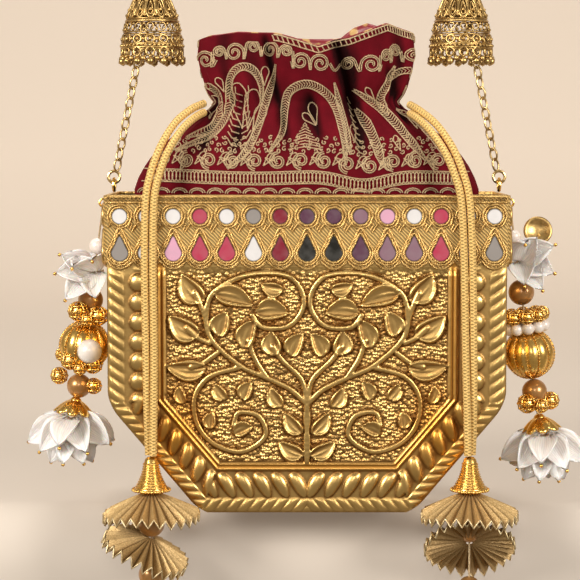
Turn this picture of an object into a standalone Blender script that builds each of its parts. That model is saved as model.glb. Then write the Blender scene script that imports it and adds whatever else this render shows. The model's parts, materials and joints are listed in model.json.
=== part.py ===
"""Potli bag: a gold box body with a velvet drawstring pouch, bead tassels, side latkans and a chain handle.

The bag hangs from its chain. The origin is the highest point of the chain loop, -Y is the front and
+Z is up. Heights are given from the box's rim, which lies RIM below the origin.
"""

import math

import bmesh
import bpy
from mathutils import Matrix, Vector

MM = 0.001
GAP = 0.3 * MM

# Box
RIM = -245 * MM
BOX_HALF_WIDTH = 100 * MM
BOX_HALF_DEPTH = 31 * MM
BOX_HEIGHT = 160 * MM
CHAMFER_TOP = 105 * MM
BOTTOM_HALF_WIDTH = 53.5 * MM
SHEET = 1.6 * MM
LINING = 1.0 * MM
TRIM_HEIGHT = 32 * MM
TRIM_THICKNESS = 2 * MM
SCALLOPS = 15

# Handle
CHAIN_RADIUS = 2.2 * MM
CHAIN_FOOT_X = 98.8 * MM
CHAIN_LEAN = 0.2
ARCH_FOOT = 190 * MM
EYE_HEIGHT = 4.3 * MM
EYE_RADIUS, EYE_WIRE = 3.0 * MM, 0.9 * MM
LINK_WIRE = 0.8 * MM
TILT_HEIGHT = 5.3 * MM

# Jhumkas, tassels and latkans
JHUMKA_HEIGHT = 105 * MM
BORE = 0.9 * MM
THREAD_RADIUS = 0.5 * MM
CORD_RADIUS = 1.95 * MM
TASSEL_X = {"left": -78 * MM, "right": 81.5 * MM}
TASSEL_Y = -37.3 * MM
TASSEL_TOP = -133.3 * MM
LATKAN_HINGE_X = 104.4 * MM
LATKAN_HINGE_Z = -5.5 * MM
LATKAN_LEAN = math.radians(8)

# Each pouch section: height over the rim, half width, half depth, all in millimetres.
POUCH_SECTIONS = [
    (-7, 88, 26), (2, 88, 26.5), (13.5, 83.5, 27), (22.5, 77, 27), (32.5, 65, 25), (40, 53, 20.5),
    (46, 47.5, 17), (52, 50.5, 18), (62, 54, 20.5), (72, 55.7, 22), (79, 54.5, 22.5),
]

# Each drawstring tail: its points from the neck to the cone as X, Y and height over the rim, in millimetres.
DRAWSTRINGS = {
    "drawstring_left_outer": [
        (-52.2, -7.0, 45.8), (-58.5, -14.5, 42.6), (-66.2, -23.0, 35.6), (-73.0, -29.8, 24.0),
        (-77.6, -33.8, 11.0), (-80.0, -36.2, -2.5), (-80.7, -36.6, -28.0), (-80.6, -36.6, -52.5),
        (-80.2, -36.6, -80.0), (-79.9, -36.3, -105.0), (-79.5, -35.8, -120.0), (-79.2, -35.5, -129.9),
    ],
    "drawstring_left_inner": [
        (-52.0, -11.0, 41.2), (-56.4, -17.4, 38.5), (-62.6, -25.2, 32.4), (-69.0, -31.0, 22.0),
        (-73.4, -34.6, 10.0), (-75.8, -36.6, -2.5), (-76.5, -37.0, -28.0), (-76.4, -37.2, -52.5),
        (-76.2, -37.6, -80.0), (-76.4, -38.4, -105.0), (-76.7, -38.9, -120.0), (-76.8, -39.1, -129.9),
    ],
    "drawstring_right_outer": [
        (52.2, -7.0, 45.2), (57.6, -14.0, 41.6), (65.2, -22.6, 34.6), (72.4, -29.6, 23.6),
        (77.4, -33.8, 11.0), (80.5, -36.2, -2.5), (82.0, -36.6, -28.0), (82.6, -36.6, -52.5),
        (83.0, -36.6, -80.0), (83.2, -36.3, -105.0), (83.0, -35.8, -120.0), (82.7, -35.5, -129.9),
    ],
    "drawstring_right_inner": [
        (52.2, -11.0, 40.6), (56.0, -17.4, 37.9), (61.9, -25.2, 31.6), (68.4, -31.0, 21.6),
        (73.2, -34.6, 10.0), (76.3, -36.6, -2.5), (77.8, -37.0, -28.0), (78.4, -37.2, -52.5),
        (79.0, -37.6, -80.0), (79.7, -38.4, -105.0), (80.1, -38.9, -120.0), (80.3, -39.1, -129.9),
    ],
}

# Distance of each bead's middle below its hinge and its radius, in millimetres.
TASSEL_BEADS = {
    "left": {"bead_upper": (31.2, 6.7), "bead_middle": (57.0, 6.6), "end_bead": (84.0, 4.5)},
    "right": {"bead_upper": (34.0, 6.6), "bead_middle": (64.0, 6.0), "end_bead": (86.0, 4.5)},
}
LATKAN_BEADS = {
    "left": {"top_bead": (22, 4.3), "bead_upper": (50, 6.5), "ball": (74, 12.3), "bead_lower": (95, 6.3)},
    "right": {"top_bead": (17, 3.4), "bead_upper": (46, 6.7), "ball": (78, 12.3), "bead_lower": (98, 6.5)},
}
LATKAN_PETALS = {"left": (28, 103), "right": (23, 112)}


def clear_scene():
    for old in list(bpy.data.objects):
        bpy.data.objects.remove(old, do_unlink=True)


def make_material(name, colour, roughness, metallic):
    material = bpy.data.materials.new(name)
    material.use_nodes = True
    shader = material.node_tree.nodes["Principled BSDF"]
    shader.inputs["Base Color"].default_value = (*colour, 1)
    shader.inputs["Roughness"].default_value = roughness
    shader.inputs["Metallic"].default_value = metallic
    return material


def make_materials():
    looks = {
        "embossed_gold": ((0.64, 0.42, 0.15), 0.3, 1),
        "antique_gold": ((0.48, 0.31, 0.11), 0.35, 1),
        "bright_gold": ((0.76, 0.45, 0.08), 0.2, 1),
        "chain_gold": ((0.58, 0.42, 0.17), 0.3, 1),
        "maroon_velvet": ((0.1, 0.004, 0.01), 0.9, 0),
        "satin_lining": ((0.3, 0.02, 0.03), 0.4, 0),
        "black_felt": ((0.01, 0.01, 0.01), 0.95, 0),
        "mirror_lace": ((0.5, 0.37, 0.15), 0.5, 0.4),
        "gold_cord": ((0.6, 0.4, 0.12), 0.5, 0.3),
        "gold_tissue": ((0.5, 0.36, 0.14), 0.5, 0.4),
        "bronze_pearl": ((0.5, 0.25, 0.07), 0.3, 0.3),
        "white_pearl": ((0.83, 0.76, 0.7), 0.25, 0),
        "shell_petal": ((0.88, 0.8, 0.75), 0.35, 0),
        "thread": ((0.6, 0.45, 0.2), 0.7, 0),
    }
    return {name: make_material(name, *look) for name, look in looks.items()}


def add_object(name, data, material, parent=None, place=(0, 0, 0)):
    piece = bpy.data.objects.new(name, data)
    parts.objects.link(piece)
    piece.location = place
    piece.parent = parent
    data.materials.append(materials[material])
    return piece


def add_hinge(name, place, turn=0.0):
    hinge = bpy.data.objects.new(name, None)
    parts.objects.link(hinge)
    hinge.location = place
    hinge.rotation_euler = (0, turn, 0)
    return hinge


def outline_half(inset, top):
    """The box's right half outline from the rim down to the bottom's middle, with rounded corners."""
    x, low = BOX_HALF_WIDTH - inset, -BOX_HEIGHT + inset
    slope = Vector((BOTTOM_HALF_WIDTH - BOX_HALF_WIDTH, CHAMFER_TOP - BOX_HEIGHT)).normalized()
    shift = inset * math.tan(math.atan2(-slope.x, -slope.y) / 2)
    upper = Vector((x, -CHAMFER_TOP + shift))
    run = (upper.y - low) / -slope.y
    lower = upper + slope * run
    return [
        (x, top),
        *rounded(Vector((x, top)), upper, lower),
        *rounded(upper, lower, Vector((0, low))),
        (0, low),
    ]


def rounded(before, corner, after, radius=9 * MM, steps=4):
    """A round through a corner, as the points of a quadratic curve that starts and ends `radius` from it."""
    start = corner + (before - corner).normalized() * radius
    end = corner + (after - corner).normalized() * radius
    points = []
    for i in range(steps + 1):
        t = i / steps
        points.append(tuple(start * (1 - t) ** 2 + corner * 2 * t * (1 - t) + end * t**2))
    return points


def full_outline(inset, top):
    """Left rim, down, round the bottom and up to the right rim."""
    half = outline_half(inset, top)
    return [(-x, z) for x, z in half[:-1]] + [(x, z) for x, z in reversed(half)]


def flat_plate(name, outline, thickness, y, material):
    """A plate of the given X-Z outline, whose middle lies at y."""
    curve = bpy.data.curves.new(name, "CURVE")
    curve.dimensions = "2D"
    curve.fill_mode = "BOTH"
    curve.extrude = thickness / 2
    spline = curve.splines.new("POLY")
    spline.points.add(len(outline) - 1)
    for point, (x, z) in zip(spline.points, outline):
        point.co = (x, z, 0, 1)
    spline.use_cyclic_u = True
    plate = add_object(name, curve, material, place=(0, y, RIM))
    plate.rotation_euler = (math.pi / 2, 0, 0)
    return plate


def strip_mesh(name, outline, half_depth, closed_ends):
    """The outline carried from the front to the back, with walls across its ends where they are closed."""
    bm = bmesh.new()
    front = [bm.verts.new((x, -half_depth, z)) for x, z in outline]
    edges = [bm.edges.new(pair) for pair in zip(front, front[1:])]
    walls = bmesh.ops.extrude_edge_only(bm, edges=edges)["geom"]
    back = [v for v in walls if isinstance(v, bmesh.types.BMVert)]
    bmesh.ops.translate(bm, verts=back, vec=(0, 2 * half_depth, 0))
    if closed_ends:
        for ring in (front, sorted(back, key=lambda v: (v.co.x, v.co.z if v.co.x > 0 else -v.co.z))):
            bm.faces.new(ring)
    bmesh.ops.recalc_face_normals(bm, faces=bm.faces)
    mesh = bpy.data.meshes.new(name)
    bm.to_mesh(mesh)
    bm.free()
    return mesh


def add_shell(piece, thickness, offset):
    wall = piece.modifiers.new("Wall", "SOLIDIFY")
    wall.thickness = thickness
    wall.offset = offset
    wall.use_even_offset = True
    return piece


def build_box():
    y = BOX_HALF_DEPTH - SHEET / 2
    outline = full_outline(0, 0)
    flat_plate("box_front_plate", outline, SHEET, -y, "embossed_gold")
    flat_plate("box_back_plate", outline, SHEET, y, "embossed_gold")
    depth = BOX_HALF_DEPTH - SHEET - GAP
    band = strip_mesh("box_side_band", outline, depth, closed_ends=False)
    add_shell(add_object("box_side_band", band, "embossed_gold", place=(0, 0, RIM)), SHEET, -1)
    inner = full_outline(SHEET + GAP, -1.5 * MM)
    tub = strip_mesh("box_lining", inner, depth, closed_ends=True)
    add_shell(add_object("box_lining", tub, "black_felt", place=(0, 0, RIM)), LINING, -1)


def scalloped_outline(half_width, count, drop=4.5 * MM):
    """A band with a straight top and a row of round scallops below."""
    pitch = 2 * half_width / count
    points = [(-half_width, -GAP), (-half_width, -TRIM_HEIGHT)]
    for i in range(count):
        for k in range(1, 5):
            x = -half_width + (i + k / 4) * pitch
            points.append((x, -TRIM_HEIGHT - drop * math.sin(math.pi * k / 4)))
    return points + [(half_width, -GAP)]


def build_trim():
    y = BOX_HALF_DEPTH + GAP + TRIM_THICKNESS / 2
    for side, place in (("front", -y), ("back", y)):
        outline = scalloped_outline(BOX_HALF_WIDTH, SCALLOPS)
        flat_plate(f"trim_{side}", outline, TRIM_THICKNESS, place, "mirror_lace")
    for side, sign in (("left", -1), ("right", 1)):
        band = flat_plate(
            f"trim_{side}", scalloped_outline(BOX_HALF_DEPTH - GAP, 4), TRIM_THICKNESS * 0.6, 0, "mirror_lace"
        )
        band.rotation_euler = (math.pi / 2, 0, math.pi / 2)
        band.location.x = sign * (BOX_HALF_WIDTH + GAP + TRIM_THICKNESS * 0.3)


def section_ring(bm, height, half_width, half_depth, sides, power=2.3):
    """One closed ring of points on a rounded-rectangle section."""
    circle = bmesh.ops.create_circle(bm, segments=sides, radius=1.0)["verts"]
    for vert in circle:
        angle = math.atan2(vert.co.y, vert.co.x)
        c, s = math.cos(angle), math.sin(angle)
        vert.co.x = half_width * math.copysign(abs(c) ** (2 / power), c)
        vert.co.y = half_depth * math.copysign(abs(s) ** (2 / power), s)
        vert.co.z = height
    return circle


def loft(name, sections, sides):
    """An open tube through the sections, each a height, half width and half depth in millimetres."""
    bm = bmesh.new()
    rings = [section_ring(bm, *(value * MM for value in section), sides) for section in sections]
    for low, high in zip(rings, rings[1:]):
        pair = set(low) | set(high)
        edges = [e for e in bm.edges if set(e.verts) <= pair and abs(e.verts[0].co.z - e.verts[1].co.z) < 1e-9]
        bmesh.ops.bridge_loops(bm, edges=edges)
    bmesh.ops.recalc_face_normals(bm, faces=bm.faces)
    mesh = bpy.data.meshes.new(name)
    bm.to_mesh(mesh)
    bm.free()
    return mesh


def build_pouch():
    velvet = loft("pouch_velvet", POUCH_SECTIONS, sides=28)
    add_shell(add_object("pouch_velvet", velvet, "maroon_velvet", place=(0, 0, RIM)), 1.5 * MM, -1)
    inner = [(z, a - 3.6, b - 3.2) for z, a, b in POUCH_SECTIONS]
    satin = loft("pouch_lining", inner, sides=28)
    add_shell(add_object("pouch_lining", satin, "satin_lining", place=(0, 0, RIM)), 0.5 * MM, -1)


def smooth_route(points, spacing):
    """Points at an even spacing on a Catmull-Rom curve through the given ones."""
    ends = [points[0] * 2 - points[1], *points, points[-1] * 2 - points[-2]]
    fine = []
    for p0, p1, p2, p3 in zip(ends, ends[1:], ends[2:], ends[3:]):
        for i in range(20):
            t = i / 20
            fine.append(
                0.5 * (2 * p1 + (p2 - p0) * t + (2 * p0 - 5 * p1 + 4 * p2 - p3) * t**2
                       + (3 * p1 - p0 - 3 * p2 + p3) * t**3)
            )
    fine.append(points[-1])
    length = sum((b - a).length for a, b in zip(fine, fine[1:]))
    count = round(length / spacing)
    even, travelled, target = [fine[0]], 0.0, length / count
    for a, b in zip(fine, fine[1:]):
        step = (b - a).length
        while travelled + step >= target * len(even) and len(even) < count:
            even.append(a.lerp(b, (target * len(even) - travelled) / step))
        travelled += step
    return even + [points[-1]]


def add_wire(name, points, radius, material, parent=None, cyclic=False):
    curve = bpy.data.curves.new(name, "CURVE")
    curve.dimensions = "3D"
    curve.bevel_depth = radius
    curve.bevel_resolution = 2
    curve.use_fill_caps = not cyclic
    spline = curve.splines.new("POLY")
    spline.points.add(len(points) - 1)
    for point, place in zip(spline.points, points):
        point.co = (*place, 1)
    spline.use_cyclic_u = cyclic
    return add_object(name, curve, material, parent)


def build_drawstrings():
    for name, points in DRAWSTRINGS.items():
        route = [Vector((x * MM, y * MM, RIM + z * MM)) for x, y, z in points]
        add_wire(name, smooth_route(route, 6.5 * MM), CORD_RADIUS, "gold_cord")


def chain_points():
    """The chain from the left eye up, over the arch at the origin and down to the right eye."""
    foot = TILT_HEIGHT + EYE_RADIUS * 2 + LINK_WIRE + GAP
    side = [
        Vector((CHAIN_FOOT_X - CHAIN_LEAN * (z - TILT_HEIGHT), 0, RIM + z))
        for z in (foot, 60 * MM, 110 * MM, 150 * MM, ARCH_FOOT)
    ]
    half_width, rise = side[-1].x, -CHAIN_RADIUS - side[-1].z
    arch = []
    for i in range(1, 6):
        angle = math.pi / 12 * i
        arch.append(Vector((half_width * math.cos(angle), 0, side[-1].z + rise * math.sin(angle))))
    right = side + arch
    left = [Vector((-p.x, 0, p.z)) for p in right]
    return left + [Vector((0, 0, -CHAIN_RADIUS))] + right[::-1]


def add_ring(name, place, radius, wire, axis, material, parent=None):
    """A wire ring whose axis is X or Y."""
    bpy.ops.mesh.primitive_torus_add(
        major_radius=radius, minor_radius=wire, major_segments=16, minor_segments=8, location=place
    )
    ring = bpy.context.object
    ring.name = ring.data.name = name
    turn = Matrix.Rotation(math.pi / 2, 4, "Y" if axis == "X" else "X")
    ring.data.transform(turn)
    for collection in list(ring.users_collection):
        collection.objects.unlink(ring)
    parts.objects.link(ring)
    ring.parent = parent
    ring.data.materials.append(materials[material])
    return ring


def build_handle():
    add_wire("handle_chain", smooth_route(chain_points(), 11 * MM), CHAIN_RADIUS, "chain_gold")
    for side, sign in (("left", -1), ("right", 1)):
        x = sign * CHAIN_FOOT_X
        add_ring(f"side_eye_{side}", (x, 0, RIM + EYE_HEIGHT), EYE_RADIUS, EYE_WIRE, "X", "bright_gold")
        link = (x, 0, RIM + TILT_HEIGHT + EYE_RADIUS)
        add_ring(f"chain_link_{side}", link, EYE_RADIUS, LINK_WIRE, "Y", "chain_gold")


def turned(name, profile, material, parent, place=(0, 0, 0), steps=12):
    """A closed ring section turned about Z. The profile runs down the outer side and back up the bore."""
    bm = bmesh.new()
    verts = [bm.verts.new((r * MM, 0, z * MM)) for r, z in profile]
    for a, b in zip(verts, verts[1:] + verts[:1]):
        bm.edges.new((a, b))
    mesh = bpy.data.meshes.new(name)
    bm.to_mesh(mesh)
    bm.free()
    piece = add_object(name, mesh, material, parent, place)
    screw = piece.modifiers.new("Turn", "SCREW")
    screw.steps = screw.render_steps = steps
    screw.use_merge_vertices = True
    screw.merge_threshold = 1e-5
    screw.use_normal_calculate = False
    return piece


def bead_profile(radius, bore, points=6):
    """A sphere with a straight bore."""
    start = math.asin(bore / radius)
    angles = [start + (math.pi - 2 * start) * i / points for i in range(points + 1)]
    return [(radius * math.sin(a), radius * math.cos(a)) for a in angles]


def shell_profile(outer, wall):
    """A thin turned wall: the outer line, then the same line moved in by the wall's thickness."""
    return outer + [(r - wall, z) for r, z in reversed(outer)]


def build_jhumka(side, sign):
    height = JHUMKA_HEIGHT
    x = sign * (CHAIN_FOOT_X - CHAIN_LEAN * (height - TILT_HEIGHT))
    hinge = add_hinge(f"jhumka_{side}_hinge", (x, 0, RIM + height))
    dome = [(5.4, 0), (6.6, -2.5), (8.6, -7.5), (10.8, -14), (13, -21), (14.6, -28), (15.3, -31)]
    turned(f"jhumka_{side}_dome", shell_profile(dome, 1.0), "antique_gold", hinge, steps=20)
    fringe = [(16.4, -31.4), (17, -34), (15.6, -38.5)]
    turned(f"jhumka_{side}_fringe", shell_profile(fringe, 1.6), "antique_gold", hinge, steps=20)


def build_tassel(side):
    x = TASSEL_X[side]
    hinge = add_hinge(f"tassel_{side}_hinge", (x, TASSEL_Y, RIM + TASSEL_TOP))
    bore = BORE / MM
    knob = [(2.8 * math.sin(math.radians(a)), 2.8 * math.cos(math.radians(a))) for a in (19, 45, 70, 90)]
    cone = knob + [(3.4, -3.5), (5, -8), (7.4, -12.2), (9, -13.6), (9, -14.6), (bore, -14.6)]
    turned(f"tassel_{side}_cone", cone, "bright_gold", hinge)
    for part, (depth, radius) in TASSEL_BEADS[side].items():
        look = "bright_gold" if part == "end_bead" else "bronze_pearl"
        turned(f"tassel_{side}_{part}", bead_profile(radius, bore), look, hinge, (0, 0, -depth * MM))
    upper_fan, middle_fan = TASSEL_BEADS[side]["bead_upper"], TASSEL_BEADS[side]["bead_middle"]
    fans = {
        "skirt_upper": (15.0, 24, 11),
        "fan_middle": (upper_fan[0] + upper_fan[1] + GAP / MM, 22.5, 9),
        "fan_lower": (middle_fan[0] + middle_fan[1] + GAP / MM, 19, 6.5),
    }
    for part, (depth, radius, drop) in fans.items():
        section = [(1.8, 0), (radius * 0.5, -drop * 0.45), (radius, -drop), (radius - 0.3, -drop - 1)]
        section += [(radius * 0.5, -drop * 0.45 - 1.2), (bore, -1.4), (bore, 0)]
        turned(f"tassel_{side}_{part}", section, "gold_tissue", hinge, (0, 0, -depth * MM))
    end = TASSEL_BEADS[side]["end_bead"][0]
    thread = [Vector((0, 0, z * MM)) for z in (-1, -end / 2, -end)]
    add_wire(f"tassel_{side}_thread", thread, THREAD_RADIUS, "thread", hinge)


def build_latkan(side, sign):
    hinge = add_hinge(
        f"latkan_{side}_hinge", (sign * LATKAN_HINGE_X, 0, RIM + LATKAN_HINGE_Z), -sign * LATKAN_LEAN
    )
    hook = (sign * LATKAN_HINGE_X, 0, RIM + LATKAN_HINGE_Z + 0.5 * MM)
    add_ring(f"side_hook_{side}", hook, 2.0 * MM, 0.6 * MM, "Y", "bright_gold")
    add_ring(f"latkan_{side}_ring", (0, 0, -2.0 * MM), 2.0 * MM, 0.5 * MM, "X", "bright_gold", hinge)
    bore = BORE / MM
    looks = {"top_bead": "white_pearl", "ball": "bright_gold"}
    for part, (depth, radius) in LATKAN_BEADS[side].items():
        look = looks.get(part, "bronze_pearl")
        turned(f"latkan_{side}_{part}", bead_profile(radius, bore), look, hinge, (0, 0, -depth * MM))
    upper, cap = LATKAN_PETALS[side]
    flower = [(2.6, 0), (3.8, -3), (6, -9.5), (5.6, -13), (bore, -13), (bore, 0)]
    turned(f"latkan_{side}_petals_upper", flower, "shell_petal", hinge, (0, 0, -upper * MM))
    dome = [(3, 0), (8.5, -3), (9, -5.5), (bore, -5.5), (bore, 0)]
    turned(f"latkan_{side}_cap", dome, "bright_gold", hinge, (0, 0, -cap * MM))
    bell = [(8, 0), (15, -6), (22, -16), (20.5, -17), (11, -9), (bore, -4), (bore, 0)]
    turned(f"latkan_{side}_petals_lower", bell, "shell_petal", hinge, (0, 0, -(cap + 5.8) * MM))
    thread = [Vector((0, 0, z * MM)) for z in (-4.9, -cap / 2, -cap - 9)]
    add_wire(f"latkan_{side}_cord", thread, THREAD_RADIUS, "thread", hinge)


clear_scene()
parts = bpy.data.collections.new("Potli bag")
bpy.context.scene.collection.children.link(parts)
materials = make_materials()
build_box()
build_trim()
build_pouch()
build_drawstrings()
build_handle()
for side_name, direction in (("left", -1), ("right", 1)):
    build_jhumka(side_name, direction)
    build_tassel(side_name)
    build_latkan(side_name, direction)
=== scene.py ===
"""Potli bag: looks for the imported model.

An embossed gold box with mirror lace, a velvet pouch with cord embroidery, braided drawstrings with pleated
tassels, shell latkans at the sides, and a chain handle with two jhumkas.
"""

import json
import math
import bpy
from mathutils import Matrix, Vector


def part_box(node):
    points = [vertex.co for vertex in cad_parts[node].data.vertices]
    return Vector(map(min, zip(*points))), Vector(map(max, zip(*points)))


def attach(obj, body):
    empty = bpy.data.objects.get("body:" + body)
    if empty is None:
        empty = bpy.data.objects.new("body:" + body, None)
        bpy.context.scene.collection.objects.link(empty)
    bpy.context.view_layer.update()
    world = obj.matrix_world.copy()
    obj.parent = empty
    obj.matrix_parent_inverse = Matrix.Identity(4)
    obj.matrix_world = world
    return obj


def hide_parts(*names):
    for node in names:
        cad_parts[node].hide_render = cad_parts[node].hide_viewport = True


bl_info = {
    "name": "Potli bag maker",
    "version": (1, 0, 0),
    "blender": (4, 5, 0),
    "location": "3D View > Sidebar > Potli bag",
    "description": "Makes the visible pieces of a hanging potli bag round its packed model",
    "category": "Object",
}

import bmesh
import bpy
import numpy as np
from bpy.props import FloatProperty, FloatVectorProperty, IntProperty, PointerProperty
from mathutils import Matrix, Vector, noise
from mathutils.kdtree import KDTree

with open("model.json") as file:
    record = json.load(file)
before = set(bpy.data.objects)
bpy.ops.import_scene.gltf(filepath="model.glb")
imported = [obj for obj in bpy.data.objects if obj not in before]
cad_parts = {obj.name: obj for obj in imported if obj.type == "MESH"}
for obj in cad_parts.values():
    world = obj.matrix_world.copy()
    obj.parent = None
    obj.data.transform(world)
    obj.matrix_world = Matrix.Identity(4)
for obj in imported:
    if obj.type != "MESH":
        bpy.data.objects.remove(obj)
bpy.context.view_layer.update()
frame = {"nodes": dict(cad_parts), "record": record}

MM = 0.001
SIDES = (("left", -1), ("right", 1))
FRONT_LOW, FRONT_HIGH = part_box("box_front_plate")
RIM = FRONT_HIGH.z
HALF_WIDTH = FRONT_HIGH.x / MM
HEIGHT = (FRONT_HIGH.z - FRONT_LOW.z) / MM
FRONT_Y = FRONT_LOW.y / MM
TRIM_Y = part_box("trim_front")[0].y / MM
CHAMFER_TOP = 105.0
BOTTOM_HALF = 53.5
SIDE_BORDER, SLANT_BORDER, BASE_BORDER = 29.0, 23.8, 25.5
HINGES = {joint["name"]: Vector(joint["pos_m"]) for joint in frame["record"]["behaviour"]["joints"]}


# ---------------------------------------------------------------- settings


class PotliSizes(bpy.types.PropertyGroup):
    """Sizes of the bag's fine pieces, in metres."""

    relief: FloatProperty(
        name="Relief height", description="How far the embossing stands out", default=0.0022, unit="LENGTH"
    )
    vine_width: FloatProperty(
        name="Vine width", description="Width of the embossed stems", default=0.0028, unit="LENGTH"
    )
    mirror_radius: FloatProperty(
        name="Mirror radius", description="Radius of the round mirrors", default=0.0038, unit="LENGTH"
    )
    embroidery_radius: FloatProperty(
        name="Embroidery cord radius", description="Radius of the couched cord", default=0.00033, unit="LENGTH"
    )
    link_wire: FloatProperty(
        name="Link wire", description="Radius of the chain's wire", default=0.00055, unit="LENGTH"
    )
    pleats: IntProperty(name="Pleats", description="Pleats in each tassel skirt", default=26, min=8)
    mirrors: IntProperty(name="Mirrors", description="Round mirrors across the front", default=15, min=3)


class PotliColours(bpy.types.PropertyGroup):
    """Main colours of the bag's finishes."""

    gold: FloatVectorProperty(
        name="Gold", description="Polished gold sheet", subtype="COLOR", default=(0.8, 0.53, 0.19)
    )
    # Deep gold is painted shade: the dark colour laid into the hollows of the embossing and inside the jhumka
    # bells.
    gold_shade: FloatVectorProperty(
        name="Deep gold", description="Gold in the hollows", subtype="COLOR", default=(0.16, 0.06, 0.012)
    )
    velvet: FloatVectorProperty(
        name="Velvet", description="Pile of the pouch", subtype="COLOR", default=(0.12, 0.003, 0.008)
    )
    zari: FloatVectorProperty(
        name="Zari cord", description="Pale gold embroidery cord", subtype="COLOR", default=(0.7, 0.52, 0.3)
    )
    braid: FloatVectorProperty(
        name="Braid", description="Drawstring braid", subtype="COLOR", default=(0.92, 0.6, 0.2)
    )
    shell: FloatVectorProperty(
        name="Shell", description="Shell petals", subtype="COLOR", default=(0.95, 0.9, 0.87)
    )
    backdrop: FloatVectorProperty(
        name="Backdrop", description="Paper behind the bag", subtype="COLOR", default=(0.93, 0.81, 0.69)
    )


# ---------------------------------------------------------------- shader maths


class Field:
    """A number that varies over a surface, so that shader maths reads as ordinary sums."""

    def __init__(self, tree, socket):
        self.tree, self.socket = tree, socket

    def combine(self, operation, first, second):
        node = self.tree.nodes.new("ShaderNodeMath")
        node.operation = operation
        for socket, value in zip(node.inputs, (first, second)):
            plug(self.tree, socket, value)
        return Field(self.tree, node.outputs[0])

    def __add__(self, other):
        return self.combine("ADD", self, other)

    def __sub__(self, other):
        return self.combine("SUBTRACT", self, other)

    def __rsub__(self, other):
        return self.combine("SUBTRACT", other, self)

    def __mul__(self, other):
        return self.combine("MULTIPLY", self, other)

    def maximum(self, other):
        return self.combine("MAXIMUM", self, other)

    def sine(self):
        return self.combine("SINE", self, 0)

    __radd__, __rmul__ = __add__, __mul__


def plug(tree, socket, value):
    """Links a field or a socket, or sets a plain value."""
    if isinstance(value, Field):
        tree.links.new(value.socket, socket)
    elif isinstance(value, bpy.types.NodeSocket):
        tree.links.new(value, socket)
    elif socket.type == "RGBA" and len(value) == 3:
        socket.default_value = (*value, 1)
    else:
        socket.default_value = value


class Look:
    """One material: a Principled shader and the nodes that feed it."""

    def __init__(self, name, colour, roughness, metallic=0.0, **fixed):
        self.material = bpy.data.materials.new(name)
        self.material.use_nodes = True
        self.tree = self.material.node_tree
        self.shader = self.tree.nodes["Principled BSDF"]
        self.set("Base Color", colour)
        self.set("Roughness", roughness)
        self.set("Metallic", metallic)
        for socket, value in fixed.items():
            self.set(socket.replace("_", " "), value)

    def set(self, socket, value):
        plug(self.tree, self.shader.inputs[socket], value)

    def node(self, kind, settings=None, **sockets):
        made = self.tree.nodes.new("ShaderNode" + kind)
        for key, value in (settings or {}).items():
            setattr(made, key, value)
        for key, value in sockets.items():
            place = int(key[1:]) if key[0] == "i" and key[1:].isdigit() else key.replace("_", " ")
            plug(self.tree, made.inputs[place], value)
        return made

    def field(self, made, output=0):
        return Field(self.tree, made.outputs[output])

    def coords(self, kind="Object"):
        return self.node("TexCoord").outputs[kind]

    def noise(self, scale, detail=3.0, vector=None):
        vector = vector or self.coords()
        return self.field(self.node("TexNoise", Vector=vector, Scale=scale, Detail=detail), "Fac")

    def attribute(self, name):
        return self.field(self.node("Attribute", {"attribute_name": name}), "Fac")

    def mix(self, factor, first, second):
        made = self.node("Mix", {"data_type": "RGBA"}, i0=factor, i6=first, i7=second)
        return made.outputs[2]

    def ramp(self, factor, low, high):
        """The factor stretched so that low becomes 0 and high becomes 1."""
        made = self.node("MapRange", None, Value=factor, From_Min=low, From_Max=high)
        return self.field(made)

    def bump(self, height, distance, strength=1.0, under=None):
        sockets = {"Height": height, "Distance": distance, "Strength": strength}
        if under is not None:
            sockets["Normal"] = under
        made = self.node("Bump", None, **sockets)
        return made.outputs["Normal"]

    def stripes(self, axis, count):
        """A sine along one axis of the piece's own UV map, from 0 to 1."""
        split = self.node("SeparateXYZ", None, Vector=self.coords("UV"))
        return (self.field(split, axis) * (count * 2 * math.pi)).sine() * 0.5 + 0.5


LOOKS = {}


def shade(value, factor):
    return tuple(channel * factor for channel in value)


def embossed_gold(colours):
    """Gold sheet with painted shade in the hollows and between the pebbles of the ground, and amber towards the
    lower corners.
    """
    look = Look("embossed_gold", (0, 0, 0), 0.3, 1.0)
    hollow = look.attribute("hollow")
    tone = look.mix(look.ramp(look.noise(60), 0.3, 0.75), colours.gold, shade(colours.gold, 0.72))
    tone = look.mix(look.attribute("amber"), tone, (0.6, 0.25, 0.025))
    pebble = look.node("TexVoronoi", {"feature": "F1"}, Vector=look.coords(), Scale=520.0)
    ground = look.attribute("ground")
    stipple = look.field(pebble, "Distance") * ground
    # Painted shade: the gaps between the pebbles and the hollows of the relief darken towards deep gold.
    pits = look.ramp(stipple, 0.3, 0.62) * 0.7
    look.set("Base Color", look.mix(hollow.maximum(pits), tone, colours.gold_shade))
    look.set("Roughness", look.noise(220) * 0.2 + 0.22 + hollow * 0.2)
    first = look.bump(1 - stipple, 0.0011, 1.0)
    look.set("Normal", look.bump(look.noise(900, 4.0), 0.0001, 0.5, first))
    return look


def plain_gold(name, colour, roughness, dark, grain=0.0001):
    """Cast or drawn gold, darker in patches."""
    look = Look(name, colour, roughness, 1.0)
    patches = look.ramp(look.noise(260, 5.0), 0.45, 0.7)
    look.set("Base Color", look.mix(patches * (7000 * grain), colour, dark))
    look.set("Roughness", look.noise(400) * 0.2 + (roughness - 0.08))
    look.set("Normal", look.bump(look.noise(1500, 3.0), grain, 0.6))
    return look


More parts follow.
